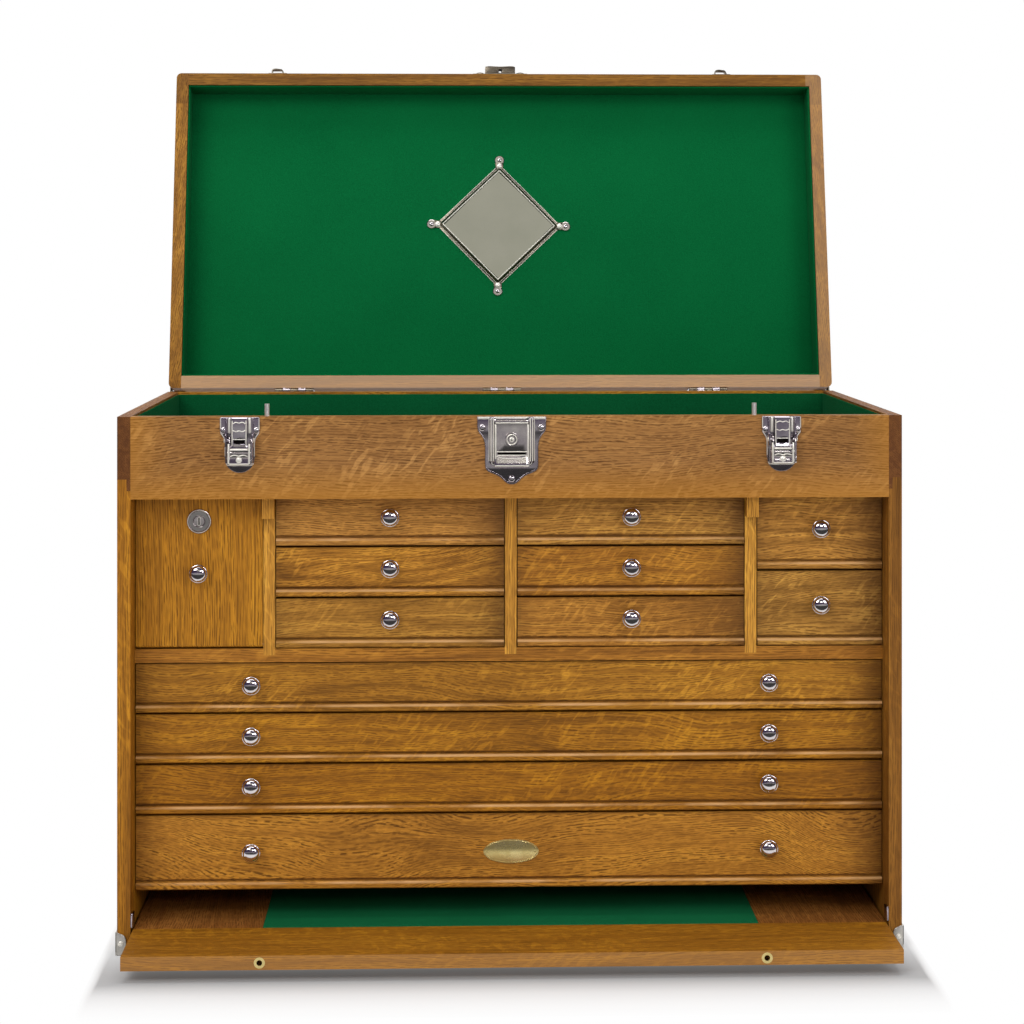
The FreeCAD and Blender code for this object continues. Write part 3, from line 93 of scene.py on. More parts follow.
class Nodes:
    """Short ways to place and join nodes in one tree."""

    def __init__(self, tree):
        self.tree = tree

    def add(self, kind, **settings):
        node = self.tree.nodes.new(kind)
        for name, value in settings.items():
            setattr(node, name, value)
        return node

    def join(self, source, target):
        self.tree.links.new(source, target)

    def feed(self, socket, value):
        if isinstance(value, bpy.types.NodeSocket):
            self.join(value, socket)
        else:
            socket.default_value = value

    def math(self, operation, first, second=0.0, third=0.0, clamp=False):
        node = self.add("ShaderNodeMath", operation=operation, use_clamp=clamp)
        self.feed(node.inputs[0], first)
        self.feed(node.inputs[1], second)
        self.feed(node.inputs[2], third)
        return node.outputs[0]

    plus = partialmethod(math, "ADD")
    minus = partialmethod(math, "SUBTRACT")
    times = partialmethod(math, "MULTIPLY")
    times_plus = partialmethod(math, "MULTIPLY_ADD")
    divided = partialmethod(math, "DIVIDE")
    larger = partialmethod(math, "MAXIMUM")
    absolute = partialmethod(math, "ABSOLUTE")
    exceeds = partialmethod(math, "GREATER_THAN")
    under = partialmethod(math, "LESS_THAN")

    def ramp(self, factor, stops):
        """stops are (position, grey or colour)."""
        node = self.add("ShaderNodeValToRGB")
        elements = node.color_ramp.elements
        while len(elements) < len(stops):
            elements.new(0.5)
        for element, (position, colour) in zip(elements, stops):
            element.position = position
            element.color = colour if isinstance(colour, tuple) else (colour, colour, colour, 1.0)
        self.feed(node.inputs[0], factor)
        return node.outputs[0]

    def mix(self, factor, first, second, blend="MIX"):
        node = self.add("ShaderNodeMix", data_type="RGBA", blend_type=blend)
        self.feed(node.inputs[0], factor)
        self.feed(node.inputs[6], first)
        self.feed(node.inputs[7], second)
        return node.outputs[2]

    def stretch(self, vector, scale, shift=(0, 0, 0), turn=(0, 0, 0)):
        node = self.add("ShaderNodeMapping")
        self.feed(node.inputs[0], vector)
        node.inputs[1].default_value = shift
        node.inputs[2].default_value = turn
        node.inputs[3].default_value = scale
        return node.outputs[0]

    def noise(self, vector, scale=1.0, detail=2.0, roughness=0.5, distortion=0.0):
        node = self.add("ShaderNodeTexNoise")
        self.feed(node.inputs["Vector"], vector)
        node.inputs["Scale"].default_value = scale
        node.inputs["Detail"].default_value = detail
        node.inputs["Roughness"].default_value = roughness
        node.inputs["Distortion"].default_value = distortion
        return node.outputs[0]

    def split(self, vector):
        node = self.add("ShaderNodeSeparateXYZ")
        self.feed(node.inputs[0], vector)
        return node.outputs

    def bump(self, height, strength, distance, normal=None):
        node = self.add("ShaderNodeBump")
        node.inputs["Strength"].default_value = strength
        node.inputs["Distance"].default_value = distance
        self.feed(node.inputs["Height"], height)
        if normal is not None:
            self.join(normal, node.inputs["Normal"])
        return node.outputs[0]


def new_material(name):
    """A fresh material, its node helper and its main shader."""
    material = bpy.data.materials.new(name)
    material.use_nodes = True
    nodes = Nodes(material.node_tree)
    shader = [node for node in material.node_tree.nodes if node.type == "BSDF_PRINCIPLED"][0]
    return material, nodes, shader


# ---------------------------------------------------------------- oak
def oak_group():
    """Oak figure for a vector whose X runs along the grain and whose Z lies across it."""
    group = bpy.data.node_groups.new("oak figure", "ShaderNodeTree")
    face = group.interface
    face.new_socket("Vector", in_out="INPUT", socket_type="NodeSocketVector")
    for name in ("Fleck", "Figure", "Pores", "Wave"):
        face.new_socket(name, in_out="INPUT", socket_type="NodeSocketFloat")
    face.new_socket("Tone", in_out="OUTPUT", socket_type="NodeSocketFloat")
    face.new_socket("Pore", in_out="OUTPUT", socket_type="NodeSocketFloat")
    nodes = Nodes(group)
    given = nodes.add("NodeGroupInput")
    result = nodes.add("NodeGroupOutput")

    drift = nodes.noise(nodes.stretch(given.outputs["Vector"], (6, 5, 9)), detail=1.0)
    drift = nodes.times(nodes.minus(drift, 0.5), given.outputs["Wave"])
    lean = nodes.add("ShaderNodeCombineXYZ")
    nodes.feed(lean.inputs[1], drift)
    nodes.feed(lean.inputs[2], drift)
    moved = nodes.add("ShaderNodeVectorMath", operation="ADD")
    nodes.join(given.outputs["Vector"], moved.inputs[0])
    nodes.join(lean.outputs[0], moved.inputs[1])
    vector = moved.outputs[0]

    slow = nodes.noise(nodes.stretch(vector, (2.2, 30, 30)), detail=2.0, roughness=0.45)
    rings = nodes.math("SINE", nodes.times(slow, 52.0))
    rings = nodes.times_plus(rings, 0.5, 0.5)
    streak = nodes.noise(nodes.stretch(vector, (11, 330, 330)), detail=3.0, roughness=0.55)
    fibre = nodes.noise(nodes.stretch(vector, (75, 1300, 1300)), detail=2.0, roughness=0.6)
    cloud = nodes.noise(nodes.stretch(vector, (6, 13, 13)), detail=2.0)

    tone = nodes.times_plus(nodes.minus(streak, 0.5), 0.55, 0.5)
    tone = nodes.times_plus(nodes.minus(fibre, 0.5), 0.7, tone)
    tone = nodes.times_plus(nodes.minus(cloud, 0.5), 0.6, tone)
    swing = nodes.times(nodes.minus(rings, 0.5), given.outputs["Figure"])
    tone = nodes.plus(tone, swing)

    slant = nodes.stretch(vector, (1, 1, 1), turn=(0, 0.85, 0))
    rays = nodes.noise(nodes.stretch(slant, (75, 90, 270)), detail=1.0, roughness=0.4, distortion=0.5)
    patch = nodes.noise(nodes.stretch(vector, (13, 20, 20), shift=(3, 1, 2)), detail=1.0)
    rays = nodes.ramp(rays, [(0.54, 0.0), (0.66, 1.0)])
    patch = nodes.ramp(patch, [(0.4, 0.0), (0.57, 1.0)])
    fleck = nodes.times(nodes.times(rays, patch), given.outputs["Fleck"])
    tone = nodes.plus(tone, fleck, clamp=True)

    across = nodes.split(vector)
    depth = nodes.times(nodes.plus(across[1], across[2]), 3000.0)
    uneven = nodes.noise(nodes.stretch(vector, (32, 260, 260)), detail=1.0)
    rows = nodes.math("SINE", nodes.times_plus(uneven, 8.0, depth))
    rows = nodes.ramp(nodes.times_plus(rows, 0.5, 0.5), [(0.35, 0.12), (0.85, 1.0)])
    dash = nodes.noise(nodes.stretch(vector, (165, 800, 800), shift=(1, 2, 3)), detail=1.0, roughness=0.4)
    dash = nodes.ramp(dash, [(0.4, 0.0), (0.53, 1.0)])
    fine = nodes.noise(nodes.stretch(vector, (170, 1500, 1500), shift=(2, 5, 1)), detail=1.0, roughness=0.4)
    fine = nodes.ramp(fine, [(0.55, 0.0), (0.64, 0.7)])
    pore = nodes.larger(nodes.times(rows, dash), nodes.times(fine, 0.6))
    dense = nodes.times_plus(rings, 0.5, 0.5)
    pore = nodes.times(nodes.times(pore, dense), given.outputs["Pores"])
    pore = nodes.times(pore, nodes.minus(1.0, fleck), clamp=True)
    nodes.join(tone, result.inputs["Tone"])
    nodes.join(pore, result.inputs["Pore"])
    return group


OAK = oak_group()
TURNS = {"x": (0, 0, 0), "y": (0, 0, math.pi / 2), "z": (0, math.pi / 2, 0)}


def stain(red, green, blue):
    """The dark, middle and light tones of one stained board, from its middle tone."""
    return {"dark": ink(red * 0.66, green * 0.62, blue * 0.46), "mid": ink(red, green, blue),
            "light": ink(min(red * 1.2, 250), green * 1.26, blue * 1.35)}


HONEY = stain(163, 108, 28)
PITH = stain(132, 82, 34)


def oak(name, along, seed, tint=HONEY, fleck=0.2, figure=0.3, pores=0.8, wave=0.03, long=1.0, other=None,
        shade=None, wash_and_highlight=None, other_tint=None):
    """Stained and varnished oak.  long stretches the grain; other is (axis, mask builder) for a part whose grain
    turns, with its own tint if it has one; shade gives how far the colour darkens, painted shade among it; wash is
    (builder, colour), which tints or lightens it, painted highlights among it."""
    material, nodes, shader = new_material(name)
    place = nodes.add("ShaderNodeTexCoord")
    shift = (0.37 * seed, 0.113 * seed, 0.071 * seed)
    pull = {axis: tuple(1.0 / long if step == axis else 1.0 for step in "xyz") for axis in "xyz"}
    vector = nodes.stretch(place.outputs["Object"], pull[along], shift, TURNS[along])
    faces = nodes.split(place.outputs["Normal"])
    spot = nodes.split(place.outputs["Object"])
    axes = {"x": 0, "y": 1, "z": 2}
    cross = nodes.absolute(faces[axes[along]])
    mask = None
    if other:
        second = nodes.stretch(place.outputs["Object"], pull[other[0]], shift, TURNS[other[0]])
        mask = other[1](nodes, spot)
        blend = nodes.add("ShaderNodeMix", data_type="VECTOR")
        nodes.join(mask, blend.inputs[0])
        nodes.join(vector, blend.inputs[4])
        nodes.join(second, blend.inputs[5])
        vector = blend.outputs[1]
        turned = nodes.absolute(faces[axes[other[0]]])
        swap = nodes.add("ShaderNodeMix", data_type="FLOAT")
        nodes.join(mask, swap.inputs[0])
        nodes.join(cross, swap.inputs[2])
        nodes.join(turned, swap.inputs[3])
        cross = swap.outputs[0]
    wood = nodes.add("ShaderNodeGroup", node_tree=OAK)
    nodes.join(vector, wood.inputs["Vector"])
    for socket, value in (("Fleck", fleck), ("Figure", figure), ("Pores", pores), ("Wave", wave)):
        wood.inputs[socket].default_value = value

    def stained(tones):
        return nodes.ramp(wood.outputs["Tone"], [(0.1, tones["dark"]), (0.5, tones["mid"]), (0.92, tones["light"])])
    colour = stained(tint)
    if other_tint:
        colour = nodes.mix(mask, colour, stained(other_tint))
    colour = nodes.mix(nodes.times(wood.outputs["Pore"], 0.8), colour, ink(70, 36, 6))
    end = nodes.ramp(cross, [(0.6, 0.0), (0.8, 1.0)])
    colour = nodes.mix(nodes.times(end, 0.6), colour, ink(84, 46, 20))
    if shade:
        colour = nodes.mix(shade(nodes, spot), colour, ink(64, 34, 8))
    if wash_and_highlight:
        colour = nodes.mix(wash_and_highlight[0](nodes, spot), colour, wash_and_highlight[1])
    nodes.join(colour, shader.inputs["Base Color"])
    rough = nodes.times_plus(wood.outputs["Pore"], 0.25, 0.5)
    nodes.join(rough, shader.inputs["Roughness"])
    height = nodes.times_plus(wood.outputs["Pore"], -1.0, nodes.times(wood.outputs["Tone"], 0.4))
    nodes.join(nodes.bump(height, 0.35, 0.0004), shader.inputs["Normal"])
    shader.inputs["Specular IOR Level"].default_value = 0.16
    shader.inputs["Coat Weight"].default_value = 0.04
    shader.inputs["Coat Roughness"].default_value = 0.28
    return material


def felt(name, bright, deep):
    """Napped wool felt: fine fibres, soft clouding and a sheen."""
    material, nodes, shader = new_material(name)
    place = nodes.add("ShaderNodeTexCoord")
    nap = nodes.noise(place.outputs["Object"], 900.0, detail=4.0, roughness=0.7)
    cloud = nodes.noise(place.outputs["Object"], 9.0, detail=2.0)
    tone = nodes.times_plus(nodes.minus(cloud, 0.5), 0.35, nap)
    colour = nodes.ramp(tone, [(0.25, deep), (0.75, bright)])
    nodes.join(colour, shader.inputs["Base Color"])
    nodes.join(nodes.bump(nap, 0.5, 0.0006), shader.inputs["Normal"])
    shader.inputs["Roughness"].default_value = 0.95
    shader.inputs["Specular IOR Level"].default_value = 0.06
    shader.inputs["Sheen Weight"].default_value = 0.08
    shader.inputs["Sheen Roughness"].default_value = 0.5
    shader.inputs["Sheen Tint"].default_value = ink(60, 150, 95)
    return material


def metal(name, colour, tarnish, roughness, blotch=60.0, metallic=1.0):
    """Plated metal with faint wear in its shine."""
    material, nodes, shader = new_material(name)
    place = nodes.add("ShaderNodeTexCoord")
    wear = nodes.noise(place.outputs["Object"], blotch, detail=5.0, roughness=0.6)
    scratch = nodes.noise(nodes.stretch(place.outputs["Object"], (90, 700, 700)), detail=2.0)
    nodes.join(nodes.ramp(wear, [(0.35, colour), (0.75, tarnish)]), shader.inputs["Base Color"])
    rough = nodes.times_plus(wear, 0.14, roughness - 0.06)
    rough = nodes.times_plus(scratch, 0.05, rough)
    nodes.join(rough, shader.inputs["Roughness"])
    shader.inputs["Metallic"].default_value = metallic
    return material


def leather(name, colour, crease):
    """Waxed hide or thread: fine cells with dark creases between them."""
    material, nodes, shader = new_material(name)
    place = nodes.add("ShaderNodeTexCoord")
    cells = nodes.add("ShaderNodeTexVoronoi", feature="DISTANCE_TO_EDGE")
    nodes.join(place.outputs["Object"], cells.inputs["Vector"])
    cells.inputs["Scale"].default_value = 700.0
    cloud = nodes.noise(place.outputs["Object"], 45.0, detail=4.0)
    lines = nodes.ramp(cells.outputs["Distance"], [(0.0, 0.0), (0.12, 1.0)])
    tone = nodes.times(lines, cloud)
    nodes.join(nodes.ramp(tone, [(0.1, crease), (0.6, colour)]), shader.inputs["Base Color"])
    nodes.join(nodes.bump(lines, 0.4, 0.0004), shader.inputs["Normal"])
    shader.inputs["Roughness"].default_value = 0.5
    return material


def mirror_silver(name):
    """Silvered glass with a faint haze."""
    material, nodes, shader = new_material(name)
    place = nodes.add("ShaderNodeTexCoord")
    haze = nodes.noise(place.outputs["Object"], 30.0, detail=3.0)
    nodes.join(nodes.ramp(haze, [(0.3, ink(196, 196, 186)), (0.7, ink(204, 203, 194))]), shader.inputs["Base Color"])
    nodes.join(nodes.times_plus(haze, 0.04, 0.03), shader.inputs["Roughness"])
    shader.inputs["Metallic"].default_value = 1.0
    return material


NICKEL = metal("polished nickel", ink(222, 214, 208), ink(186, 176, 180), 0.12)
NICKEL_DARK = metal("shaded nickel", ink(196, 188, 192), ink(150, 140, 152), 0.11)
NICKEL_KNOB = metal("bright nickel", ink(226, 220, 218), ink(198, 190, 196), 0.07)
# Near white and partly matt, so the beads, edges and small heads made of it read bright: a painted highlight.
HIGHLIGHT_NICKEL = metal("painted highlight nickel", ink(252, 248, 236), ink(234, 228, 214), 0.34, metallic=0.6)
WORN = metal("worn nickel", ink(216, 212, 204), ink(174, 170, 162), 0.27)
TARNISHED = metal("tarnished nickel", ink(138, 128, 112), ink(84, 76, 68), 0.26)
STEEL = metal("steel pin", ink(246, 244, 238), ink(222, 218, 210), 0.42)
BRASS = metal("pale brass", ink(226, 208, 146), ink(198, 174, 104), 0.24)
FELT = felt("green felt", ink(8, 88, 48), ink(2, 66, 34))
FELT_LID = felt("lid felt", ink(6, 104, 54), ink(1, 84, 42))
FELT_PANEL = felt("panel felt", ink(20, 104, 64), ink(8, 80, 44))
LEATHER = leather("waxed leather", ink(96, 54, 30), ink(36, 18, 9))
THREAD = leather("waxed thread", ink(196, 178, 140), ink(150, 130, 96))
MIRROR = mirror_silver("silvered glass")
# Dark metal laid behind slots and in recesses: a painted shadow.
SLOT_SHADOW = metal("painted slot shadow", ink(40, 34, 32), ink(26, 22, 20), 0.5)


# ---------------------------------------------------------------- where the colour lies darker or lighter, painted shade and painted highlights among it
def ends_dark(left, right, at_left, at_right):
    """Darker towards the two ends of a front, more at one than at the other."""
    def shade(nodes, place):
        sides = []
        for near, (reach, most) in ((nodes.minus(place[0], left), at_left),
                                    (nodes.minus(right, place[0]), at_right)):
            fade = nodes.minus(1.0, nodes.divided(near, reach, clamp=True))
            sides.append(nodes.times(nodes.math("POWER", fade, 2.0), most))
        return nodes.larger(sides[0], sides[1])
    return shade


def front_shade(low, high):
    """The colour of a drawer's face: darker towards both ends, with painted shade in the cove over the bead, under the
    bead and along the top edge.
    """
    darker_ends = ends_dark(low[0], high[0], (0.032, 0.36), (0.055, 0.72))

    def shade(nodes, place):
        rise = nodes.divided(nodes.minus(place[2], low[2]), DRAWER_LIP * MM, clamp=True)
        # painted shade: a dark line along the lower edge, under the bead, and in the cove over the bead
        line = nodes.ramp(rise, [(0.0, 0.4), (0.12, 0.0), (0.52, 0.0), (0.57, 0.75), (0.63, 0.75), (0.69, 0.0)])
        # painted shade along the top edge
        drop = nodes.divided(nodes.minus(high[2], place[2]), 5 * MM, clamp=True)
        line = nodes.larger(line, darker_ends(nodes, place))
        return nodes.larger(line, nodes.ramp(drop, [(0.0, 0.45), (0.5, 0.0)]))
    return shade


def bead_crest_highlight(low):
    """A painted highlight along the bead's crest, broken into patches."""
    def wash_and_highlight(nodes, place):
        rise = nodes.divided(nodes.minus(place[2], low[2]), DRAWER_LIP * MM, clamp=True)
        crest_patches = nodes.noise(nodes.stretch(nodes.tree.nodes["Texture Coordinate"].outputs["Object"], (22, 40, 60)),
                             detail=2.0)
        crest = nodes.ramp(rise, [(0.3, 0.0), (0.38, 1.0), (0.47, 1.0), (0.53, 0.0)])
        return nodes.times(crest, nodes.ramp(crest_patches, [(0.38, 0.15), (0.62, 0.8)]))
    return wash_and_highlight


def above(level):
    """A light shade over a height, for the lid's top board."""
    def mask(nodes, place):
        return nodes.times(nodes.exceeds(place[2], level), 0.35)
    return mask


def lid_rim_highlight(nodes, place):
    """A painted highlight on the rim of the lid's lowest board, and a fainter one on the rim of its right board."""
    lean = math.radians(LID_LEAN)
    across = nodes.times(nodes.minus(place[1], HINGE_Y * MM), math.sin(lean))
    down = nodes.times(nodes.minus(place[2], HINGE_Z * MM), math.cos(lean))
    from_rim = nodes.divided(nodes.plus(across, down), 8 * MM, clamp=True)
    rim = nodes.ramp(from_rim, [(0.4, 1.0), (0.8, 0.0)])
    inside = nodes.under(nodes.absolute(place[0]), LID_INSIDE * MM)
    foot = nodes.times(nodes.times(inside, nodes.under(place[2], 470 * MM)), 0.6)
    side = nodes.times(nodes.exceeds(place[0], 314 * MM), 0.22)
    return nodes.times(rim, nodes.larger(foot, side))


def golden_foot(nodes, place):
    """The apron's lower edge and ends, where the stain is more golden."""
    rise = nodes.divided(nodes.minus(place[2], APRON_FOOT * MM), 30 * MM, clamp=True)
    end = nodes.divided(nodes.minus(nodes.absolute(place[0]), 285 * MM), 45 * MM, clamp=True)
    return nodes.larger(nodes.ramp(rise, [(0.0, 0.6), (0.45, 0.35), (1.0, 0.0)]), nodes.times(end, 0.6))


def panel_edge(nodes, place):
    """The panel's forward edge, which is paler than its face."""
    return nodes.times(nodes.under(place[1], -230.2 * MM), 0.26)


def behind(limit):
    """One past a plane that faces the front: the box behind a drawer's face."""
    def mask(nodes, place):
        return nodes.exceeds(place[1], limit)
    return mask


def above_joint(nodes, place):
    """One on an end's top rail, whose foot is stepped."""
    outer = nodes.exceeds(nodes.absolute(place[0]), 322.3 * MM)
    level = nodes.times_plus(outer, 9.6 * MM, 388.5 * MM)
    return nodes.exceeds(place[2], level)


def on_sides(nodes, place):
    """One on the lid's two side boards."""
    return nodes.exceeds(nodes.absolute(place[0]), LID_INSIDE * MM)


def on_stiles(nodes, place):
    """One on the panel's upright stiles, between its rails."""
    side = nodes.exceeds(nodes.absolute(place[0]), FIELD_SIDE * MM)
    rail = nodes.exceeds(place[1], FIELD_FRONT * MM)
    foot = nodes.under(place[1], FIELD_REAR * MM)
    return nodes.times(nodes.times(side, rail), foot)


# ---------------------------------------------------------------- finishes of the wooden parts
def finish_node(node, material):
    """Give a carried-over part its finish."""
    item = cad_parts[node]
    if not item.material_slots:
        item.data.materials.append(material)
    for slot in item.material_slots:
        slot.material = material


FRONT_REAR = -123.8 * MM
DRAWERS = ["left_top", "left_middle", "left_bottom", "centre_top", "centre_middle", "centre_bottom",
           "right_top", "right_bottom", "long_top", "long_middle", "long_bottom", "deep"]

# tint, fleck, figure, pores, wave of each drawer
DRAWER_LOOKS = {
    "left_top": (stain(188, 131, 58), 0.05, 0.1, 0.9, 0.02),
    "left_middle": (stain(179, 120, 38), 0.5, 0.4, 0.9, 0.05),
    "left_bottom": (stain(174, 121, 44), 0.2, 0.3, 0.8, 0.03),
    "centre_top": (stain(176, 123, 50), 0.2, 0.3, 0.9, 0.02),
    "centre_middle": (stain(162, 105, 30), 0.35, 0.3, 0.9, 0.03),
    "centre_bottom": (stain(168, 112, 40), 0.3, 0.3, 0.85, 0.02),
    "right_top": (stain(184, 128, 52), 0.2, 0.3, 0.9, 0.03),
    "right_bottom": (stain(177, 126, 52), 0.35, 0.3, 0.9, 0.03),
    "long_top": (stain(166, 111, 30), 0.35, 0.25, 0.85, 0.03),
    "long_middle": (stain(164, 107, 22), 0.25, 0.3, 0.85, 0.03),
    "long_bottom": (stain(161, 103, 18), 0.25, 0.25, 0.8, 0.03),
    "deep": (stain(181, 121, 38), 0.08, 0.2, 1.0, 0.05),
}


def finish_wood():
    """One oak for each board and drawer, so that no two boards share their grain."""
    stepped = dict(other=("y", above_joint), other_tint=PITH, wave=0.012, long=1.8)
    boards = (
        ("end_left", "end left", "z", stain(165, 107, 24), stepped),
        ("end_right", "end right", "z", stain(140, 91, 30), stepped),
        ("back_board", "back", "x", HONEY, {}),
        ("bottom_board", "bottom", "x", HONEY, {}),
        ("apron", "apron", "x", stain(152, 105, 54),
         dict(fleck=0.4, figure=0.1, pores=0.95, wave=0.02, wash_and_highlight=(golden_foot, ink(178, 118, 32)))),
        ("till_floor", "till floor", "x", HONEY, {}),
        ("mid_shelf", "shelf", "x", stain(165, 107, 34), dict(wave=0.012, long=1.6)),
        ("dividers", "dividers", "z", stain(196, 137, 50), dict(figure=0.15, wave=0.01, long=2.2)),
        ("drawer_runners", "runners", "y", HONEY, {}),
        # the lid frame: its top board darker, and a painted highlight on the rims of its lowest and right boards
        ("lid_frame", "lid frame", "x", stain(154, 104, 34),
         dict(fleck=0.1, other=("z", on_sides), wave=0.012, long=1.6, shade=above(740 * MM),
              wash_and_highlight=(lid_rim_highlight, ink(206, 172, 140)))),
        ("lid_panel", "lid panel", "x", HONEY, {}),
        ("front_panel", "front panel", "x", stain(152, 99, 22),
         dict(other=("y", on_stiles), other_tint=PITH, figure=0.25, wave=0.02, long=1.4,
              wash_and_highlight=(panel_edge, ink(208, 156, 100)))),
        ("door", "door", "z", stain(181, 120, 26), dict(fleck=0.06, figure=0.16, pores=0.9, wave=0.016, long=2.2)),
    )
    for seed, (node, label, along, tint, more) in enumerate(boards, 1):
        finish_node(node, oak("oak " + label, along, seed, tint, **more))
    for seed, name in enumerate(DRAWERS, 20):
        low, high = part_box("drawer_" + name)
        tint, fleck, figure, pores, wave = DRAWER_LOOKS[name]
        # each drawer front: painted shade in its cove and along its edges, darker ends, and a painted highlight on its
        # bead's crest
        finish_node("drawer_" + name, oak("oak drawer " + name, "x", seed, tint, fleck, figure, pores, wave,
                                          other=("y", behind(FRONT_REAR)), shade=front_shade(low, high),
                                          wash_and_highlight=(bead_crest_highlight(low), ink(214, 166, 112))))


def finish_rest():
    """Finishes of the small parts that are carried over as they are."""
    for name in ("stop_pin_left", "stop_pin_right"):
        finish_node(name, STEEL)
    finish_node("panel_bushings", BRASS)
    finish_node("mirror_glass", MIRROR)


# ---------------------------------------------------------------- ways to shape a piece, in millimetres
class Shape:
    """Metal and leather work gathered into one mesh before it is set in its place."""

    def __init__(self):
        self.bm = bmesh.new()

    def add(self, part, place=None, finish=0):
        """Takes in one part, with the number of its finish."""
        if place is not None:
            bmesh.ops.transform(part, matrix=place, verts=part.verts)
        for face in part.faces:
            face.material_index = finish
        mesh = bpy.data.meshes.new("part")
        part.to_mesh(mesh)
        part.free()
        self.bm.from_mesh(mesh)
        bpy.data.meshes.remove(mesh)
        return self

    def done(self, name, body, finishes, stands_for=(), angle=38.0, place=None):
        """Makes the piece; edges sharper than the angle stay crisp."""
        mesh = bpy.data.meshes.new(name)
        whole = Matrix.Scale(MM, 4)
        if place is not None:
            whole = whole @ place
        bmesh.ops.transform(self.bm, matrix=whole, verts=self.bm.verts)
        self.bm.to_mesh(mesh)
        self.bm.free()
        for material in finishes:
            mesh.materials.append(material)
        mesh.shade_smooth()
        mesh.set_sharp_from_angle(angle=math.radians(angle))
        item = bpy.data.objects.new(name, mesh)
        bpy.context.scene.collection.objects.link(item)
        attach(item, body)
        if stands_for:
            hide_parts(*stands_for)
        return item


def at(x, y, z, turn=0.0, axis="X"):
    """A place, after a turn in degrees about one axis."""
    return Matrix.Translation((x, y, z)) @ Matrix.Rotation(math.radians(turn), 4, axis)


def facing(x, y, z, roll=0.0):
    """Sets a turned piece so that its top faces the front."""
    return at(x, y, z, 90.0) @ Matrix.Rotation(math.radians(roll), 4, "Z")


def bar(across, deep, up, soft=0.3, steps=2):
    """A block with eased edges, between two values on each axis, in either order."""
    bm = bmesh.new()
    bmesh.ops.create_cube(bm, size=1.0)
    size = [abs(high - low) for low, high in (across, deep, up)]
    bmesh.ops.scale(bm, vec=size, verts=bm.verts)
    bmesh.ops.translate(bm, vec=[(low + high) / 2 for low, high in (across, deep, up)], verts=bm.verts)
    if soft:
        bmesh.ops.bevel(bm, geom=bm.edges[:], offset=min(soft, 0.49 * min(size)), affect="EDGES", segments=steps,
                        profile=0.5, material=-1)
    return bm


def lathe(profile, steps=40):
    """Turns a profile of (radius, height) about the upright axis."""
    bm = bmesh.new()
    verts = [bm.verts.new((radius, 0, height)) for radius, height in profile]
    edges = [bm.edges.new(pair) for pair in zip(verts, verts[1:])]
    bmesh.ops.spin(bm, geom=verts + edges, cent=(0, 0, 0), axis=(0, 0, 1), angle=math.tau, steps=steps,
                   use_merge=True)
    bmesh.ops.remove_doubles(bm, verts=bm.verts, dist=1e-4)
    bmesh.ops.recalc_face_normals(bm, faces=bm.faces)
    return bm


def curve_points(spline, points):
    """Fills a spline from (x, y, z) or (x, y, z, "s") for a point that the line flows through."""
    spline.bezier_points.add(len(points) - 1)
    for knot, point in zip(spline.bezier_points, points):
        knot.co = point[:3]
        kind = "AUTO" if len(point) > 3 else "VECTOR"
        knot.handle_left_type = kind
        knot.handle_right_type = kind


def meshed(curve):
    """The mesh of a curve, which is cleared away with its pattern."""
    item = bpy.data.objects.new("pattern", curve)
    mesh = bpy.data.meshes.new_from_object(item)
    bm = bmesh.new()
    bm.from_mesh(mesh)
    bpy.data.objects.remove(item)
    bpy.data.curves.remove(curve)
    bpy.data.meshes.remove(mesh)
    bmesh.ops.remove_doubles(bm, verts=bm.verts, dist=1e-4)
    bmesh.ops.recalc_face_normals(bm, faces=bm.faces)
    return bm


def plate(outlines, thick, soft=0.3, fine=5):
    """Sheet metal cut to outlines of (x, z) or (x, z, "s"): its back on the XZ plane, its face to the front."""
    curve = bpy.data.curves.new("pattern", "CURVE")
    curve.dimensions = "2D"
    curve.fill_mode = "BOTH"
    curve.resolution_u = fine
    curve.bevel_resolution = 2
    curve.bevel_depth = soft
    curve.extrude = thick / 2 - soft
    curve.offset = -soft
    for outline in outlines:
        spline = curve.splines.new("BEZIER")
        curve_points(spline, [(point[0], point[1], 0.0) + tuple(point[2:]) for point in outline])
        spline.use_cyclic_u = True
    bm = meshed(curve)
    bmesh.ops.transform(bm, matrix=at(0, -thick / 2, 0, 90.0), verts=bm.verts)
    return bm


def bead(paths, radius, closed=False):
    """Round moulding or wire along paths of (x, y, z) or (x, y, z, "s")."""
    curve = bpy.data.curves.new("pattern", "CURVE")
    curve.dimensions = "3D"
    curve.resolution_u = 5
    curve.bevel_depth = radius
    curve.bevel_resolution = 3
    curve.use_fill_caps = True
    for path in paths:
        spline = curve.splines.new("BEZIER")
        curve_points(spline, path)
        spline.use_cyclic_u = closed
    return meshed(curve)


def mirrored(points, side):
    """The same points, carried over to the other side of the middle where side is -1."""
    return [(side * point[0],) + tuple(point[1:]) for point in points]


def both_sides(half):
    """An outline or a path from the points of its first half, which ends in the middle or beside it."""
    return list(half) + mirrored([point for point in reversed(half) if abs(point[0]) > 1e-6], -1)


def rib(half, radius):
    """A bead over both sides of a piece, from the points of its left half."""
    return bead([both_sides(half)], radius)


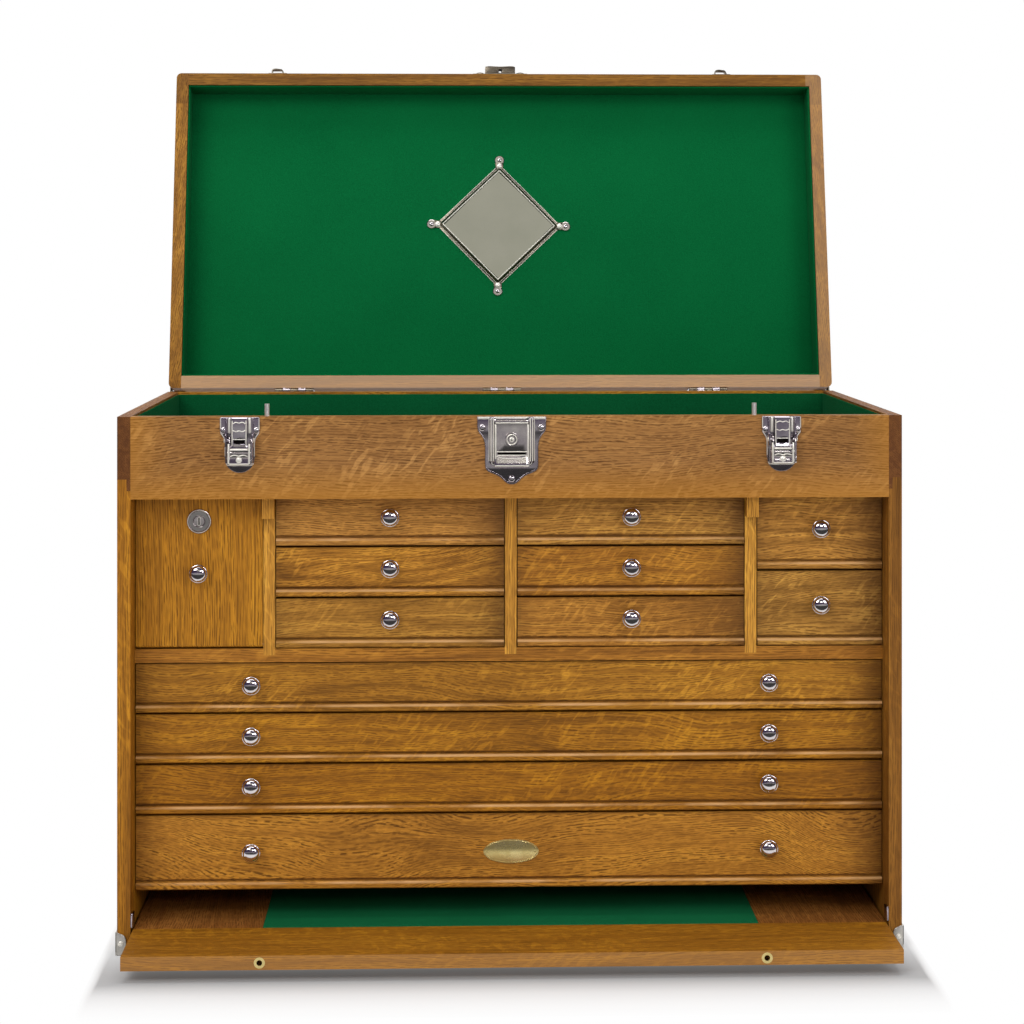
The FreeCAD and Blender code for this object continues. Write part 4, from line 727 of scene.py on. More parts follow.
def formed(stations, path, thick, holes=(), soft=0.2):
    """Strip bent along a path of (y, z) down its front face; holes are (column, row) left open."""
    bm = bmesh.new()
    row = [bm.verts.new((x, path[0][0], path[0][1])) for x in stations]
    edges = [bm.edges.new(pair) for pair in zip(row, row[1:])]
    open_faces = []
    for step, (before, after) in enumerate(zip(path, path[1:])):
        grown = bmesh.ops.extrude_edge_only(bm, edges=edges)["geom"]
        edges = [part for part in grown if isinstance(part, bmesh.types.BMEdge)
                 and all(vert in grown for vert in part.verts)]
        edges = [edge for edge in edges if len(edge.link_faces) == 1 and
                 abs(edge.verts[0].co.x - edge.verts[1].co.x) > 1e-6]
        verts = [part for part in grown if isinstance(part, bmesh.types.BMVert)]
        for column, edge in enumerate(sorted(edges, key=lambda part: part.verts[0].co.x + part.verts[1].co.x)):
            if (column, step) in holes:
                open_faces += list(edge.link_faces)
        bmesh.ops.translate(bm, vec=(0, after[0] - before[0], after[1] - before[1]), verts=verts)
    if open_faces:
        bmesh.ops.delete(bm, geom=list(set(open_faces)), context="FACES_ONLY")
        loose = [edge for edge in bm.edges if not edge.link_faces]
        bmesh.ops.delete(bm, geom=loose, context="EDGES")
    bmesh.ops.recalc_face_normals(bm, faces=bm.faces)
    middle = sorted(bm.faces, key=lambda face: face.calc_center_median().y)[0]
    if middle.normal.y > 0:
        bmesh.ops.reverse_faces(bm, faces=bm.faces)
    bmesh.ops.solidify(bm, geom=bm.faces[:], thickness=thick)
    sharp = [edge for edge in bm.edges if len(edge.link_faces) == 2 and edge.calc_face_angle(0.0) > 1.0]
    if soft and sharp:
        bmesh.ops.bevel(bm, geom=sharp, offset=soft, affect="EDGES", segments=2, profile=0.5, material=-1)
    bmesh.ops.recalc_face_normals(bm, faces=bm.faces)
    return bm


def screw(radius=2.3, tall=0.9, slot=0.32):
    """A domed head with a driver slot cut across it."""
    bm = lathe([(radius, 0), (radius, 0.2 * tall), (0.9 * radius, 0.55 * tall), (0.66 * radius, 0.84 * tall),
                (0.34 * radius, 0.97 * tall), (0, tall)], 24)
    for side in (-slot, slot):
        bmesh.ops.bisect_plane(bm, geom=bm.verts[:] + bm.edges[:] + bm.faces[:], dist=1e-5,
                               plane_co=(side, 0, 0), plane_no=(1, 0, 0))
    track = [face for face in bm.faces if abs(face.calc_center_median().x) < slot
             and face.calc_center_median().z > 0.3 * tall]
    sunk = bmesh.ops.extrude_face_region(bm, geom=track)["geom"]
    deeper = [part for part in sunk if isinstance(part, bmesh.types.BMVert)]
    bmesh.ops.translate(bm, vec=(0, 0, -0.5 * tall), verts=deeper)
    return bm


def pill(half_wide, half_tall, thick, soft=0.1):
    """A small plate with round ends."""
    turn = half_tall - half_wide
    return plate([[(half_wide, -turn), (half_wide, turn), (0, half_tall, "s"), (-half_wide, turn),
                   (-half_wide, -turn), (0, -half_tall, "s")]], thick, soft, 4)


def rod(radius, long, steps=20, soft=0.25):
    """A pin along the upright axis, its ends eased."""
    return lathe([(0, 0), (radius - soft, 0), (radius, soft), (radius, long - soft), (radius - soft, long), (0, long)],
                 steps)


# ---------------------------------------------------------------- knobs, door lock and badge
KNOB = [(0, 0), (5.0, 0), (5.2, 0.25), (5.1, 0.9), (4.6, 1.25), (3.6, 1.9), (3.2, 3.0), (3.15, 5.2), (3.5, 6.4),
        (4.6, 7.25), (6.4, 7.7), (7.5, 7.85), (7.85, 8.1), (7.95, 8.45), (7.85, 8.8), (7.5, 9.05), (7.2, 9.15),
        (7.1, 9.5), (6.9, 10.15), (6.45, 10.95), (5.75, 11.7), (4.75, 12.32), (3.5, 12.75), (2.1, 13.0),
        (0.9, 13.08), (0, 13.1)]


def make_knobs():
    """A turned knob in each place where the part has a plain one: one on a small drawer, two on a wide one."""
    for name in DRAWERS + ["door"]:
        node = "door_knob" if name == "door" else "knob_" + name
        low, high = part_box(node)
        height = (low[2] + high[2]) / 2 / MM
        places = [(low[0] + high[0]) / 2 / MM]
        if high[0] - low[0] > 20 * MM:
            places = [low[0] / MM + 7.95, high[0] / MM - 7.95]
        shape = Shape()
        for place in places:
            shape.add(lathe(KNOB, 48), facing(place, KNOB_FACE, height))
        body = "door" if name == "door" else "drawer_" + name
        shape.done("turned_" + node, body, [NICKEL_KNOB], [node], angle=50)


def make_door_lock():
    """A barrel with a turned face and a key slot, and the cam behind the door."""
    shape = Shape()
    x, z = -264.8, 359.8
    barrel = [(0, -18), (7.2, -18), (7.7, -17.4), (7.7, 0.04), (10.2, 0.04), (10.6, 0.35), (10.45, 0.95), (10.1, 1.45),
              (9.6, 1.6), (9.1, 1.5), (8.8, 1.1), (8.6, 0.8), (8.4, 0.75), (5.3, 0.75), (5.0, 0.65), (4.8, 0.35),
              (4.6, 0.75), (4.35, 1.0), (0, 1.1)]
    shape.add(lathe(barrel, 56), facing(x, KNOB_FACE, z))
    shape.add(lathe([(5.2, 0.7), (8.45, 0.7), (8.4, 0.86), (5.3, 0.86), (5.2, 0.7)], 56), facing(x, KNOB_FACE, z), 3)
    shape.add(lathe([(9.35, 1.5), (9.75, 1.5), (9.9, 1.75), (9.5, 1.85), (9.35, 1.5)], 56), facing(x, KNOB_FACE, z), 2)
    # A bright bezel round the key slot and a dark pill inside it: a painted highlight and a painted shadow.
    shape.add(pill(1.15, 4.0, 0.3), at(x, KNOB_FACE - 0.95, z), 2)
    shape.add(pill(0.6, 3.2, 0.3), at(x, KNOB_FACE - 1.1, z), 1)
    shape.add(bar((x - 0.2, x + 0.2), (KNOB_FACE - 1.5, KNOB_FACE - 1.2), (z - 1.6, z + 1.4), 0.1), None, 0)
    shape.add(plate([[(3, 0), (3, 13), (0, 16, "s"), (-3, 13), (-3, 0), (0, -3, "s")]], 3.0), at(x, -117.825, z))
    shape.done("door_lock_turned", "door_lock", [NICKEL, SLOT_SHADOW, HIGHLIGHT_NICKEL, WORN], ["door_lock"])


def make_badge():
    """A blank oval plate, pinned to the deep drawer."""
    wide, tall = 23.5, 10.25
    turns = [step * math.tau / 12 for step in range(12)]
    around = [(wide * math.cos(turn), tall * math.sin(turn), "s") for turn in turns]
    shape = Shape()
    shape.add(plate([around], 0.7, 0.2, 6))
    rim = [(point[0] * 0.955, -0.72, point[1] * 0.9, "s") for point in around]
    shape.add(bead([rim], 0.34, closed=True))
    for side in (-1, 1):
        shape.add(screw(0.95, 0.5, 0.0), facing(side * 20.3, -0.6, 0))
    shape.done("badge", "drawer_deep", [BRASS], place=at(0.3, KNOB_FACE, 77.3))


# ---------------------------------------------------------------- centre lock
def rolled_edge(half, middle, inset, radius):
    """The bright edge down both sides of a pressed plate, from the points of its right half."""
    return bead([[(middle + side * point[0] * inset, PLATE_FACE, RIM + point[1] * inset) + tuple(point[2:])
                  for point in half] for side in (-1, 1)], radius)


def make_lock():
    """A pressed plate with two ribs, the hinged flap between them and the key plug in the flap."""
    half = [(29.0, -0.5), (29.0, -9.2), (28.2, -12.6, "s"), (25.4, -16.4, "s"), (23.3, -20.6, "s"), (22.5, -26.0),
            (22.5, -41.6), (21.6, -44.8, "s"), (18.0, -47.4, "s"), (12.4, -49.7, "s"), (8.2, -52.6, "s"),
            (4.3, -56.2, "s"), (0, -57.4, "s")]
    shape = Shape()
    shape.add(plate([both_sides(half)], 1.2, 0.55, 6), at(0, CASE_FRONT, RIM))
    shape.add(rolled_edge(half, 0.0, 0.975, 0.32))
    shape.add(bar((-28.4, 28.4), (PLATE_FACE - 0.5, PLATE_FACE + 0.3), (RIM - 2.6, RIM - 0.55), 0.38, 3), None, 1)
    # A dark bar behind the flap's slot: a painted shadow.
    shape.add(bar((-14.4, 14.4), (PLATE_FACE - 0.3, PLATE_FACE + 0.3), (RIM - 33.6, RIM - 28.0), 0.1), None, 2)
    for side in (-1, 1):
        shape.add(bar((side * 14.9, side * 18.0), (PLATE_FACE - 4.5, PLATE_FACE + 0.2), (RIM - 38.5, RIM - 0.6),
                      1.35, 4))
        shape.add(bar((side * 14.0, side * 18.9), (PLATE_FACE - 1.2, PLATE_FACE + 0.2), (RIM - 40.0, RIM - 0.6),
                      0.5, 3))
        for place, radius, out in ((15.5, 0.6, 4.35), (17.4, 0.55, 4.3), (19.0, 0.5, 1.1)):
            line = [(side * place, PLATE_FACE - out, RIM - drop) for drop in (1.2, 37.4)]
            shape.add(bead([line], radius), None, 1)
        shape.add(rod(1.9, 0.7), at(side * 17.7, *LOCK_PIN, side * 90.0, "Y"))
        shape.add(screw(3.0, 1.3), facing(side * 24.7, PLATE_FACE + 0.1, 440.9, 35 * side), 3)
    foot = [(-16.6, 0, -37.5), (-16.3, 0, -40.6, "s"), (-13.6, 0, -41.9, "s"), (0, 0, -42.2)]
    shape.add(rib(foot, 1.25), at(0, PLATE_FACE - 0.2, RIM))
    shape.add(rib(foot, 0.42), at(0, PLATE_FACE - 1.2, RIM + 0.7), 1)
    shape.add(screw(2.9, 1.3), facing(0, PLATE_FACE + 0.1, 397.9, 70), 3)
    shape.add(rod(1.0, 36.0), at(-18, *LOCK_PIN, 90, "Y"))
    shape.done("lock_plate_pressed", "case", [NICKEL_DARK, HIGHLIGHT_NICKEL, SLOT_SHADOW, NICKEL_KNOB], ["lock_plate"])

    roll = [(0.9, -1.9), (1.9, -0.9), (2.05, 0.4), (1.35, 1.6), (0.0, 2.1), (-1.35, 1.65), (-2.0, 0.5), (-2.0, -0.9),
            (-1.8, -2.4), (-1.8, -9.0), (-1.8, -18.0), (-1.8, -26.1), (-1.8, -28.6), (-1.95, -30.2), (-2.45, -32.4),
            (-3.05, -34.8), (-3.35, -36.6), (-3.4, -37.8)]
    flap = Shape()
    flap.add(formed([-14.5, -11.9, -6.0, 0.0, 6.0, 11.9, 14.5], roll, 1.3, [(column, 11) for column in (1, 2, 3, 4)]))
    for side in (-1, 1):
        flap.add(bar((side * 12.9, side * 14.4), (-2.35, -1.5), (-36.5, -3.0), 0.38, 3), None, 1)
    for half, radius in (
            ([(-12.6, -1.85, -25.9)], 0.42), ([(-12.6, -1.85, -28.8)], 0.42),
            ([(-13.2, -2.3, -29.6), (-9.0, -2.6, -30.9, "s"), (0, -2.9, -31.5, "s")], 0.32),
            ([(-14.2, -3.0, -37.6)], 0.55), ([(-13.6, -1.7, -1.7)], 0.5)):
        flap.add(rib(half, radius), None, 1)
    ring = [(4.75, 0), (5.9, 0), (5.8, 0.2), (5.3, 0.35), (4.85, 0.25), (4.75, 0)]
    flap.add(lathe(ring, 48), facing(0, -1.75, -15.6))
    flap.done("lock_flap", "lock_lever", [NICKEL, HIGHLIGHT_NICKEL], ["lock_lever"], place=at(0, *LOCK_PIN))

    plug = Shape()
    key_face = facing(0, -165.925, 431.4)
    plug.add(lathe([(0, 0), (4.55, 0), (4.55, 2.75), (4.35, 3.1), (4.0, 3.25), (3.75, 3.1), (3.6, 2.3), (2.1, 2.25),
                    (1.95, 2.9), (1.5, 3.25), (0, 3.35)], 40), key_face, 2)
    # A dark ring in the plug's recess and a dark bar in its key slot: painted shadow.
    plug.add(lathe([(2.15, 2.28), (3.58, 2.34), (3.55, 2.42), (2.15, 2.36), (2.15, 2.28)], 40), key_face, 1)
    plug.add(bar((-0.3, 0.3), (-169.34, -169.0), (430.2, 432.6), 0.05), None, 1)
    plug.done("lock_plug", "lock_cylinder", [NICKEL_KNOB, SLOT_SHADOW, HIGHLIGHT_NICKEL], ["lock_cylinder"])


# ---------------------------------------------------------------- draw latches
def make_latches():
    """Two draw latches: a plate with cheeks on the case, a lever on its pin, and a claw on the lever's own pin."""
    half = [(15.9, -0.5), (16.7, -1.4), (16.7, -10.8), (16.4, -13.8, "s"), (14.9, -16.2, "s"), (13.4, -18.8, "s"),
            (12.7, -23.0), (12.6, -34.4), (11.0, -40.6, "s"), (6.4, -45.3, "s"), (0, -47.0, "s")]
    plates = Shape()
    for _, x in LATCHES:
        plates.add(plate([both_sides(half)], 1.2, 0.55, 6), at(x, CASE_FRONT, RIM))
        plates.add(rolled_edge(half[1:8], x, 0.962, 0.42), None, 1)
        # A dark bar in the slot under the strap: a painted shadow.
        plates.add(bar((x - 6.2, x + 6.2), (PLATE_FACE - 0.3, PLATE_FACE + 0.3), (425.6, 432.4), 0.1), None, 2)
        for side in (-1, 1):
            cheek = (x + side * 10.4, x + side * 12.0)
            plates.add(bar(cheek, (PLATE_FACE - 2.0, PLATE_FACE + 0.2), (411.6, 449.9), 0.6, 3))
            plates.add(bar(cheek, (PLATE_FACE - 7.0, PLATE_FACE), (425.2, 436.5), 0.75, 3))
            plates.add(bar((x + side * 7.1, x + side * 9.5), (PLATE_FACE - 3.4, PLATE_FACE + 0.2), (436.9, 449.7),
                           0.9, 3), None, 1)
            plates.add(rod(1.2, 3.3, 16), at(x + side * 8.7, *LATCH_PIN, side * 90.0, "Y"))
            plates.add(lathe([(2.0, 0), (1.9, 0.35), (1.3, 0.7), (0, 0.85)], 20),
                       at(x + side * 12.0, *LATCH_PIN, side * 90.0, "Y"), 1)
            plates.add(screw(2.9, 1.6), facing(x + side * 13.6, PLATE_FACE + 0.1, 439.0, 20 + 50 * side), 3)
        plates.add(rib([(-11.2, 0, 412.4), (-10.6, 0, 410.6, "s"), (-8.0, 0, 410.0, "s"), (0, 0, 410.0)], 0.6),
                   at(x, PLATE_FACE - 0.1, 0), 1)
    plates.done("latch_plates_pressed", "case", [NICKEL_DARK, HIGHLIGHT_NICKEL, SLOT_SHADOW, NICKEL_KNOB], ["latch_plates"])

    for label, x in LATCHES:
        bail = Shape()
        cheek = [(2.4, 0.4, "s"), (0.0, 3.0, "s"), (-2.4, 1.2, "s"), (-3.5, -5.0, "s"), (-3.8, -12.0),
                 (-3.6, -19.4, "s"), (-2.2, -20.0, "s"), (-1.4, -16.0, "s"), (0.6, -9.0, "s"), (2.2, -5.0, "s")]
        for side in (-1, 1):
            start = 10.1 if side > 0 else -8.7
            bail.add(plate([cheek], 1.4, 0.45), at(start, 0, 0, 90.0, "Z"))
            bail.add(bead([[(side * 8.6, -3.0, -2.6), (side * 8.6, -3.7, -6.0, "s"), (side * 8.6, -3.85, -12.0),
                            (side * 8.6, -3.75, -19.2)]], 0.85), None, 1)
        bail.add(formed([-10.0, -5.0, 0.0, 5.0, 10.0], [(-3.5, -9.0), (-3.75, -10.0), (-3.35, -12.2), (-3.1, -14.2),
                                                        (-3.3, -16.4), (-3.75, -18.4), (-3.7, -19.8)], 1.3, soft=0.3))
        bail.add(rib([(-8.2, -3.35, -19.4)], 0.6), None, 1)
        bail.add(rib([(-7.2, -3.3, -12.9), (-3.6, -3.5, -12.0, "s"), (0, -3.5, -12.7, "s")], 0.42), None, 1)
        bail.add(lathe([(2.7, 0), (2.6, 0.5), (2.1, 1.1), (1.2, 1.5), (0, 1.6)], 24), facing(0, -2.9, -16.2), 1)
        bail.done("latch_bail_" + label, "latch_lever_" + label, [NICKEL, HIGHLIGHT_NICKEL], ["latch_lever_" + label],
                  place=at(x, *LATCH_PIN))
        claw = Shape()
        claw.add(rod(1.9, 16.8, 24), at(-8.4, 0, 0, 90, "Y"))
        claw.add(rod(1.0, 20.2, 16), at(-10.1, 0, 0, 90, "Y"))
        path = [(3.1, 24.1), (1.2, 25.0), (-0.6, 25.1), (-1.3, 24.5), (-1.4, 23.2), (-1.4, 16.0), (-1.45, 9.0),
                (-1.4, 6.8), (-1.4, 3.2), (-1.6, 1.6), (-2.0, 0.4), (-1.9, -0.9), (-1.0, -1.9), (0.3, -2.1)]
        claw.add(formed([-6.6, -4.6, 0.0, 4.6, 6.6], path, 1.2, [(1, 7), (2, 7)], 0.35))
        claw.add(bead([[(edge, -1.35, 22.8), (edge, -1.35, 1.6)] for edge in (-5.8, 5.8)], 0.5), None, 1)
        for half, radius in (
                ([(-5.2, -1.4, 20.2), (-2.6, -1.5, 21.3, "s"), (0, -1.5, 20.7, "s")], 0.42),
                ([(-5.2, -1.4, 14.6), (-2.6, -1.5, 13.6, "s"), (0, -1.5, 14.2, "s")], 0.42),
                ([(-5.2, -1.5, 7.0)], 0.35), ([(-7.3, -3.0, -1.5)], 0.8)):
            claw.add(rib(half, radius), None, 1)
        claw.done("latch_strap_" + label, "latch_claw_" + label, [NICKEL_DARK, HIGHLIGHT_NICKEL],
                  ["latch_claw_" + label], place=at(x, *CLAW_PIN))


# ---------------------------------------------------------------- mirror
def make_mirror():
    """A square rim that stands on one corner, with a screwed tab and a ball at each."""
    shape = Shape()
    band = [(55.9, -0.1), (64.4, -0.1), (64.4, 0.3), (63.6, 0.7), (61.6, 0.9), (60.9, 1.6), (58.0, 3.1), (57.3, 3.5),
            (56.6, 3.6), (56.1, 3.2), (55.9, 2.4), (55.9, -0.1)]
    shape.add(lathe(band, 4), at(0, 0, 0, 90))
    for reach, out, radius in ((57.0, 3.1, 0.95), (61.2, 1.3, 0.3), (63.8, 0.2, 0.65)):
        ring = [(reach, -out, 0), (0, -out, reach), (-reach, -out, 0), (0, -out, -reach)]
        shape.add(bead([ring], radius, closed=True), None, 1)
    for step in range(4):
        turn = Matrix.Rotation(step * math.tau / 4, 4, "Y")
        shape.add(lathe([(0, 0), (4.7, 0), (4.9, 0.3), (4.7, 0.9), (4.2, 1.2), (0, 1.25)], 32),
                  turn @ facing(68.6, 0, 0), 3)
        shape.add(bar((59.0, 67.0), (-1.15, 0), (-3.9, 3.9), 0.5, 3), turn)
        shape.add(screw(2.3, 1.2), turn @ facing(68.6, -1.1, 0, 25 + 40 * step), 2)
        shape.add(lathe([(3.0, 0), (2.8, 0.8), (1.8, 1.6), (0, 1.9)], 24), turn @ facing(62.4, -0.9, 0), 1)
    place = LID_PLACE @ at(-1.8, -174.725, 30.35) @ IN_LID @ at(0, 0, 0, 1.0, "Y")
    shape.done("mirror_rim", "lid", [TARNISHED, HIGHLIGHT_NICKEL, NICKEL_KNOB, NICKEL], ["mirror_frame"], angle=30,
               place=place)


# ---------------------------------------------------------------- hinges, strikes, corner guards and handle ears
def on_side(sign, y, z):
    """Sets a plate on an end, its face outwards."""
    return at(sign * END_FACE, y, z, sign * 90, "Z")


def round_plate(half_wide, half_tall, thick, turn=2.4):
    """A plate with rounded corners."""
    near, far = half_wide - turn, half_tall - turn
    cut = 0.3 * turn
    half = [(near, far + turn), (half_wide - cut, half_tall - cut, "s"), (half_wide, far), (half_wide, -far),
            (half_wide - cut, cut - half_tall, "s"), (near, -half_tall)]
    return plate([both_sides(half)], thick, 0.35, 5)


def leaf(shape, middle, y, z, low, high, back, steps, pitch=7.7):
    """One leaf of a hinge: its plate lies against the board at y, its knuckles are turned about (back, z)."""
    shape.add(round_plate(19.1, (high - low) / 2, 1.2, 1.6), at(middle, y, (low + high) / 2, 180.0, "Z"))
    for place in (-13.0, 0.0, 13.0):
        shape.add(screw(2.1, 0.6), at(middle + place, y + 1.15, (low + high) / 2 + (3.2 if place else -3.2), -90.0), 1)
    for step in steps:
        start = middle - 19.25 + pitch * step + 0.1
        shape.add(rod(2.6, pitch - 0.2, 28, 0.35), at(start, back, z, 90.0, "Y"))
        shape.add(bar((start + 0.2, start + pitch - 0.4), (y, y + 1.2), (z, low if low > z else high), 0.3))


def make_hinges():
    """Three hinges; the knuckles of the case's leaves and of the lid's take turns along one pin."""
    case = Shape()
    lid = Shape()
    for middle in (-206.0, 0.0, 206.0):
        leaf(case, middle, -CASE_FRONT, HINGE_Z, 430.55, 448.05, HINGE_Y, (0, 2, 4))
        case.add(rod(1.25, 38.5), at(middle - 19.25, HINGE_Y, HINGE_Z, 90.0, "Y"))
        leaf(lid, middle, LID_REAR, 0.0, 2.8, 20.3, 0.0, (1, 3))
    case.done("hinge_leaves_case", "case", [TARNISHED, NICKEL], ["case_hinge_leaves"])
    lid.done("hinge_leaves_lid", "lid", [NICKEL_DARK, HIGHLIGHT_NICKEL], ["lid_fittings"], place=LID_PLACE)


def make_strikes():
    """Catches on the lid's front board, drawn as they lie with the lid shut."""
    face = LID_FACE
    shape = Shape()
    for _, x in LATCHES:
        shape.add(round_plate(9.8, 7.0, 1.2, 2.0), at(x, face, 9.25))
        bridge = [(-6.6, 0.2), (-6.4, 4.9), (-5.0, 6.5, "s"), (3.2, 6.5), (4.6, 5.6, "s"), (6.8, 0.2), (5.5, 0.2),
                  (3.5, 4.9, "s"), (2.8, 5.3), (-4.4, 5.3), (-5.2, 4.6, "s"), (-5.4, 0.2)]
        shape.add(plate([bridge], 6.0, 0.3), at(x, face, 12.25, 90.0))
        for side in (-1, 1):
            shape.add(screw(1.5, 0.7), facing(x + side * 8.0, face - 1.1, 9.25, 30), 1)
    half = [(0, 19.2), (14.0, 19.2), (15.0, 16.2), (22.0, 16.2), (27.0, 15.4, "s"), (29.0, 11.6, "s"), (29.0, 5.6),
            (27.6, 2.9, "s"), (24.0, 2.25), (0, 2.25)]
    shape.add(plate([both_sides(half)], 1.2, 0.5), at(0, face, 0))
    staple = both_sides([(15.4, 0.2), (15.4, 8.6), (14.4, 9.6, "s"), (0, 9.6)])
    turns = [step * math.tau / 8 for step in range(8)]
    hole = [(2.0 * math.cos(turn), 5.0 + 2.0 * math.sin(turn), "s") for turn in turns]
    for low in (7.35, 15.2):
        shape.add(plate([staple, hole], 1.6, 0.4), at(0, face, low, 90.0))
    shape.add(bar((-15.3, 15.3), (face - 9.6, face - 8.3), (6.0, 15.0), 0.5, 3))
    for side in (-1, 1):
        shape.add(lathe([(5.0, 0), (4.9, 0.9), (4.1, 1.9), (2.6, 2.5), (0, 2.7)], 32),
                  facing(side * 20.6, face - 1.0, 9.4))
        shape.add(screw(2.3, 0.9), facing(side * 25.2, face - 1.1, 12.4, 25), 1)
    shape.done("strikes", "lid", [TARNISHED, HIGHLIGHT_NICKEL], place=LID_PLACE)


def guard(shape, sign, rear, face_y, leg, side_leg, low, high, soft_foot):
    """A bent corner plate, its face on a front or rear board and its side on an end."""
    inner, outer = END_FACE - leg, END_FACE + GUARD_THICK
    middle = (low + high) / 2
    if soft_foot:
        half = [(outer, high), (outer - 1.8, high), (inner + 0.9, high - 3.7, "s"), (inner, high - 5.6),
                (inner, low + 5.2), (inner + 1.8, low + 1.9, "s"), (inner + 5.0, low + 0.1, "s"),
                (outer - 1.5, low + 0.5, "s"), (outer, low + 3.0)]
    else:
        half = [(outer, high), (inner + 3.0, high), (inner + 0.5, high - 1.2, "s"), (inner, high - 3.6),
                (inner, low + 3.6), (inner + 0.5, low + 1.2, "s"), (inner + 3.0, low), (outer, low)]
    step = -1 if rear else 1
    shape.add(plate([mirrored(half, sign * step)], GUARD_THICK, 0.45), at(0, face_y, 0, 180.0 if rear else 0.0, "Z"))
    near = face_y - step * GUARD_THICK
    far = face_y + step * side_leg
    back = [(near, high), (far - step * 3.0, high), (far - step * 0.5, high - 1.2, "s"), (far, high - 3.6),
            (far, low + 3.6), (far - step * 0.5, low + 1.2, "s"), (far - step * 3.0, low), (near, low)]
    shape.add(plate([mirrored(back, sign)], GUARD_THICK, 0.45), on_side(sign, 0, 0))
    shape.add(screw(2.3, 0.5), at(sign * 331.5, face_y + step * 0.62 * side_leg, middle, sign * 90.0, "Y"), 1)
    if not rear:
        shape.add(screw(2.3, 0.9), facing(sign * (outer - leg / 2 - 0.7), face_y - 1.35, middle, 40 * sign), 1)


def make_guards():
    """The guards of the case's four feet and of the lid's four upper corners."""
    case = Shape()
    lid = Shape()
    for sign in (-1, 1):
        for rear in (False, True):
            guard(case, sign, rear, -CASE_FRONT if rear else CASE_FRONT, 7.6, 19.0, 0.5, 19.7, True)
            guard(lid, sign, rear, LID_REAR if rear else LID_FACE, 14.0, 26.0, 22.25, 38.25, False)
    case.done("corner_guards_case", "case", [WORN, HIGHLIGHT_NICKEL], ["case_fittings"])
    lid.done("corner_guards_lid", "lid", [TARNISHED, NICKEL], place=LID_PLACE)


def make_handle_ears():
    """Screwed plates with a boss and pin for each arm of a handle, and the small pins and guides of the case."""
    shape = Shape()
    for sign in (-1, 1):
        for reach in (-1, 1):
            near = reach * 60.0
            shape.add(round_plate(9.0, 15.0, 1.5, 3.0), on_side(sign, near, GRIP_PIN_HIGH))
            for height in (289.4, 310.6):
                shape.add(screw(2.3, 0.9), at(sign * (END_FACE + 1.4), near, height, sign * 90.0, "Y"), 1)
            shape.add(bar((sign * 331.0, sign * GRIP_PIN_OUT), (near - 4.0, near + 4.0), (296.8, 303.2), 1.0, 3))
            shape.add(rod(3.4, 8.0, 32, 0.7), at(sign * GRIP_PIN_OUT, near - 4.0, GRIP_PIN_HIGH, -90.0))
            start = near - 4.0 if reach < 0 else near - 13.4
            shape.add(rod(1.5, 17.4), at(sign * GRIP_PIN_OUT, start, GRIP_PIN_HIGH, -90.0))
        shape.add(bar((sign * 316.9, sign * END_INSIDE), (CASE_FRONT, CASE_FRONT + 10.0), (22.8, 34.8), 0.8, 3))
    for start in (-END_INSIDE, -217.0):
        shape.add(rod(1.5, 6.6), at(start, -132.825, 255.1, 90.0, "Y"))
    shape.done("handle_ears", "case", [NICKEL_DARK, HIGHLIGHT_NICKEL])


# ---------------------------------------------------------------- felt lining
def lay_felt(name, body, across, deep, up, finish, place=None, stands_for=(), flat=None):
    """A felt sheet glued on a board; flat, the two longer sides of its place unless told, is not used."""
    shape = Shape()
    shape.add(bar(across, deep, up, 0.55, 3))
    item = shape.done(name, body, [finish], stands_for, angle=80, place=place)
    if flat is None:
        flat = [side for side in (high - low for low, high in (across, deep, up)) if side > 2.0]
    return item


def line_walls(prefix, body, boards, wide, front, rear, up, finish, place=None):
    """Felt on the four walls of a tray; the sheets at the front and the rear run over its whole width."""
    thick = 1.5
    between = (front + thick, rear - thick)
    for side, board, across, deep in zip(
            ("front", "back", "left", "right"), boards,
            ((-wide, wide), (-wide, wide), (-wide, thick - wide), (wide - thick, wide)),
            ((front, front + thick), (rear - thick, rear), between, between)):
        lay_felt(prefix + side, body, across, deep, up, finish, place)


def make_felt():
    """The lining of the till, the lid and the drawers, and the field of the front panel."""
    till = (-END_INSIDE, END_INSIDE)
    lay_felt("till_felt_floor", "case", till, (-TILL_HALF, TILL_HALF), (387.8, 389.3), FELT,
             stands_for=["till_felt"])
    line_walls("till_felt_", "case", ("apron", "back_board", "end_left", "end_right"), END_INSIDE, -TILL_HALF,
               TILL_HALF, (389.3, 448.6), FELT)
    lay_felt("panel_felt_sheet", "front_panel", (-FIELD_SIDE, FIELD_SIDE),
             (FIELD_FRONT, FIELD_REAR), (19.7, 21.2), FELT_PANEL, stands_for=["panel_felt"], flat=(418.2, 228.3))
    lay_felt("lid_felt_top", "lid", (-LID_INSIDE, LID_INSIDE), (-314.95, -15.5), (30.35, 31.85), FELT_LID,
             LID_PLACE, ["lid_felt"])
    line_walls("lid_felt_", "lid", ["lid_frame"] * 4, LID_INSIDE, -314.95, -15.5, (2.25, 30.35), FELT_LID, LID_PLACE)
    for name in DRAWERS:
        low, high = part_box("drawer_" + name)
        floor = low[2] / MM + 5.5
        lay_felt("drawer_felt_" + name, "drawer_" + name, (low[0] / MM + 8.3, high[0] / MM - 8.3),
                 (-123.5, 138.5), (floor, floor + 1.2), FELT)


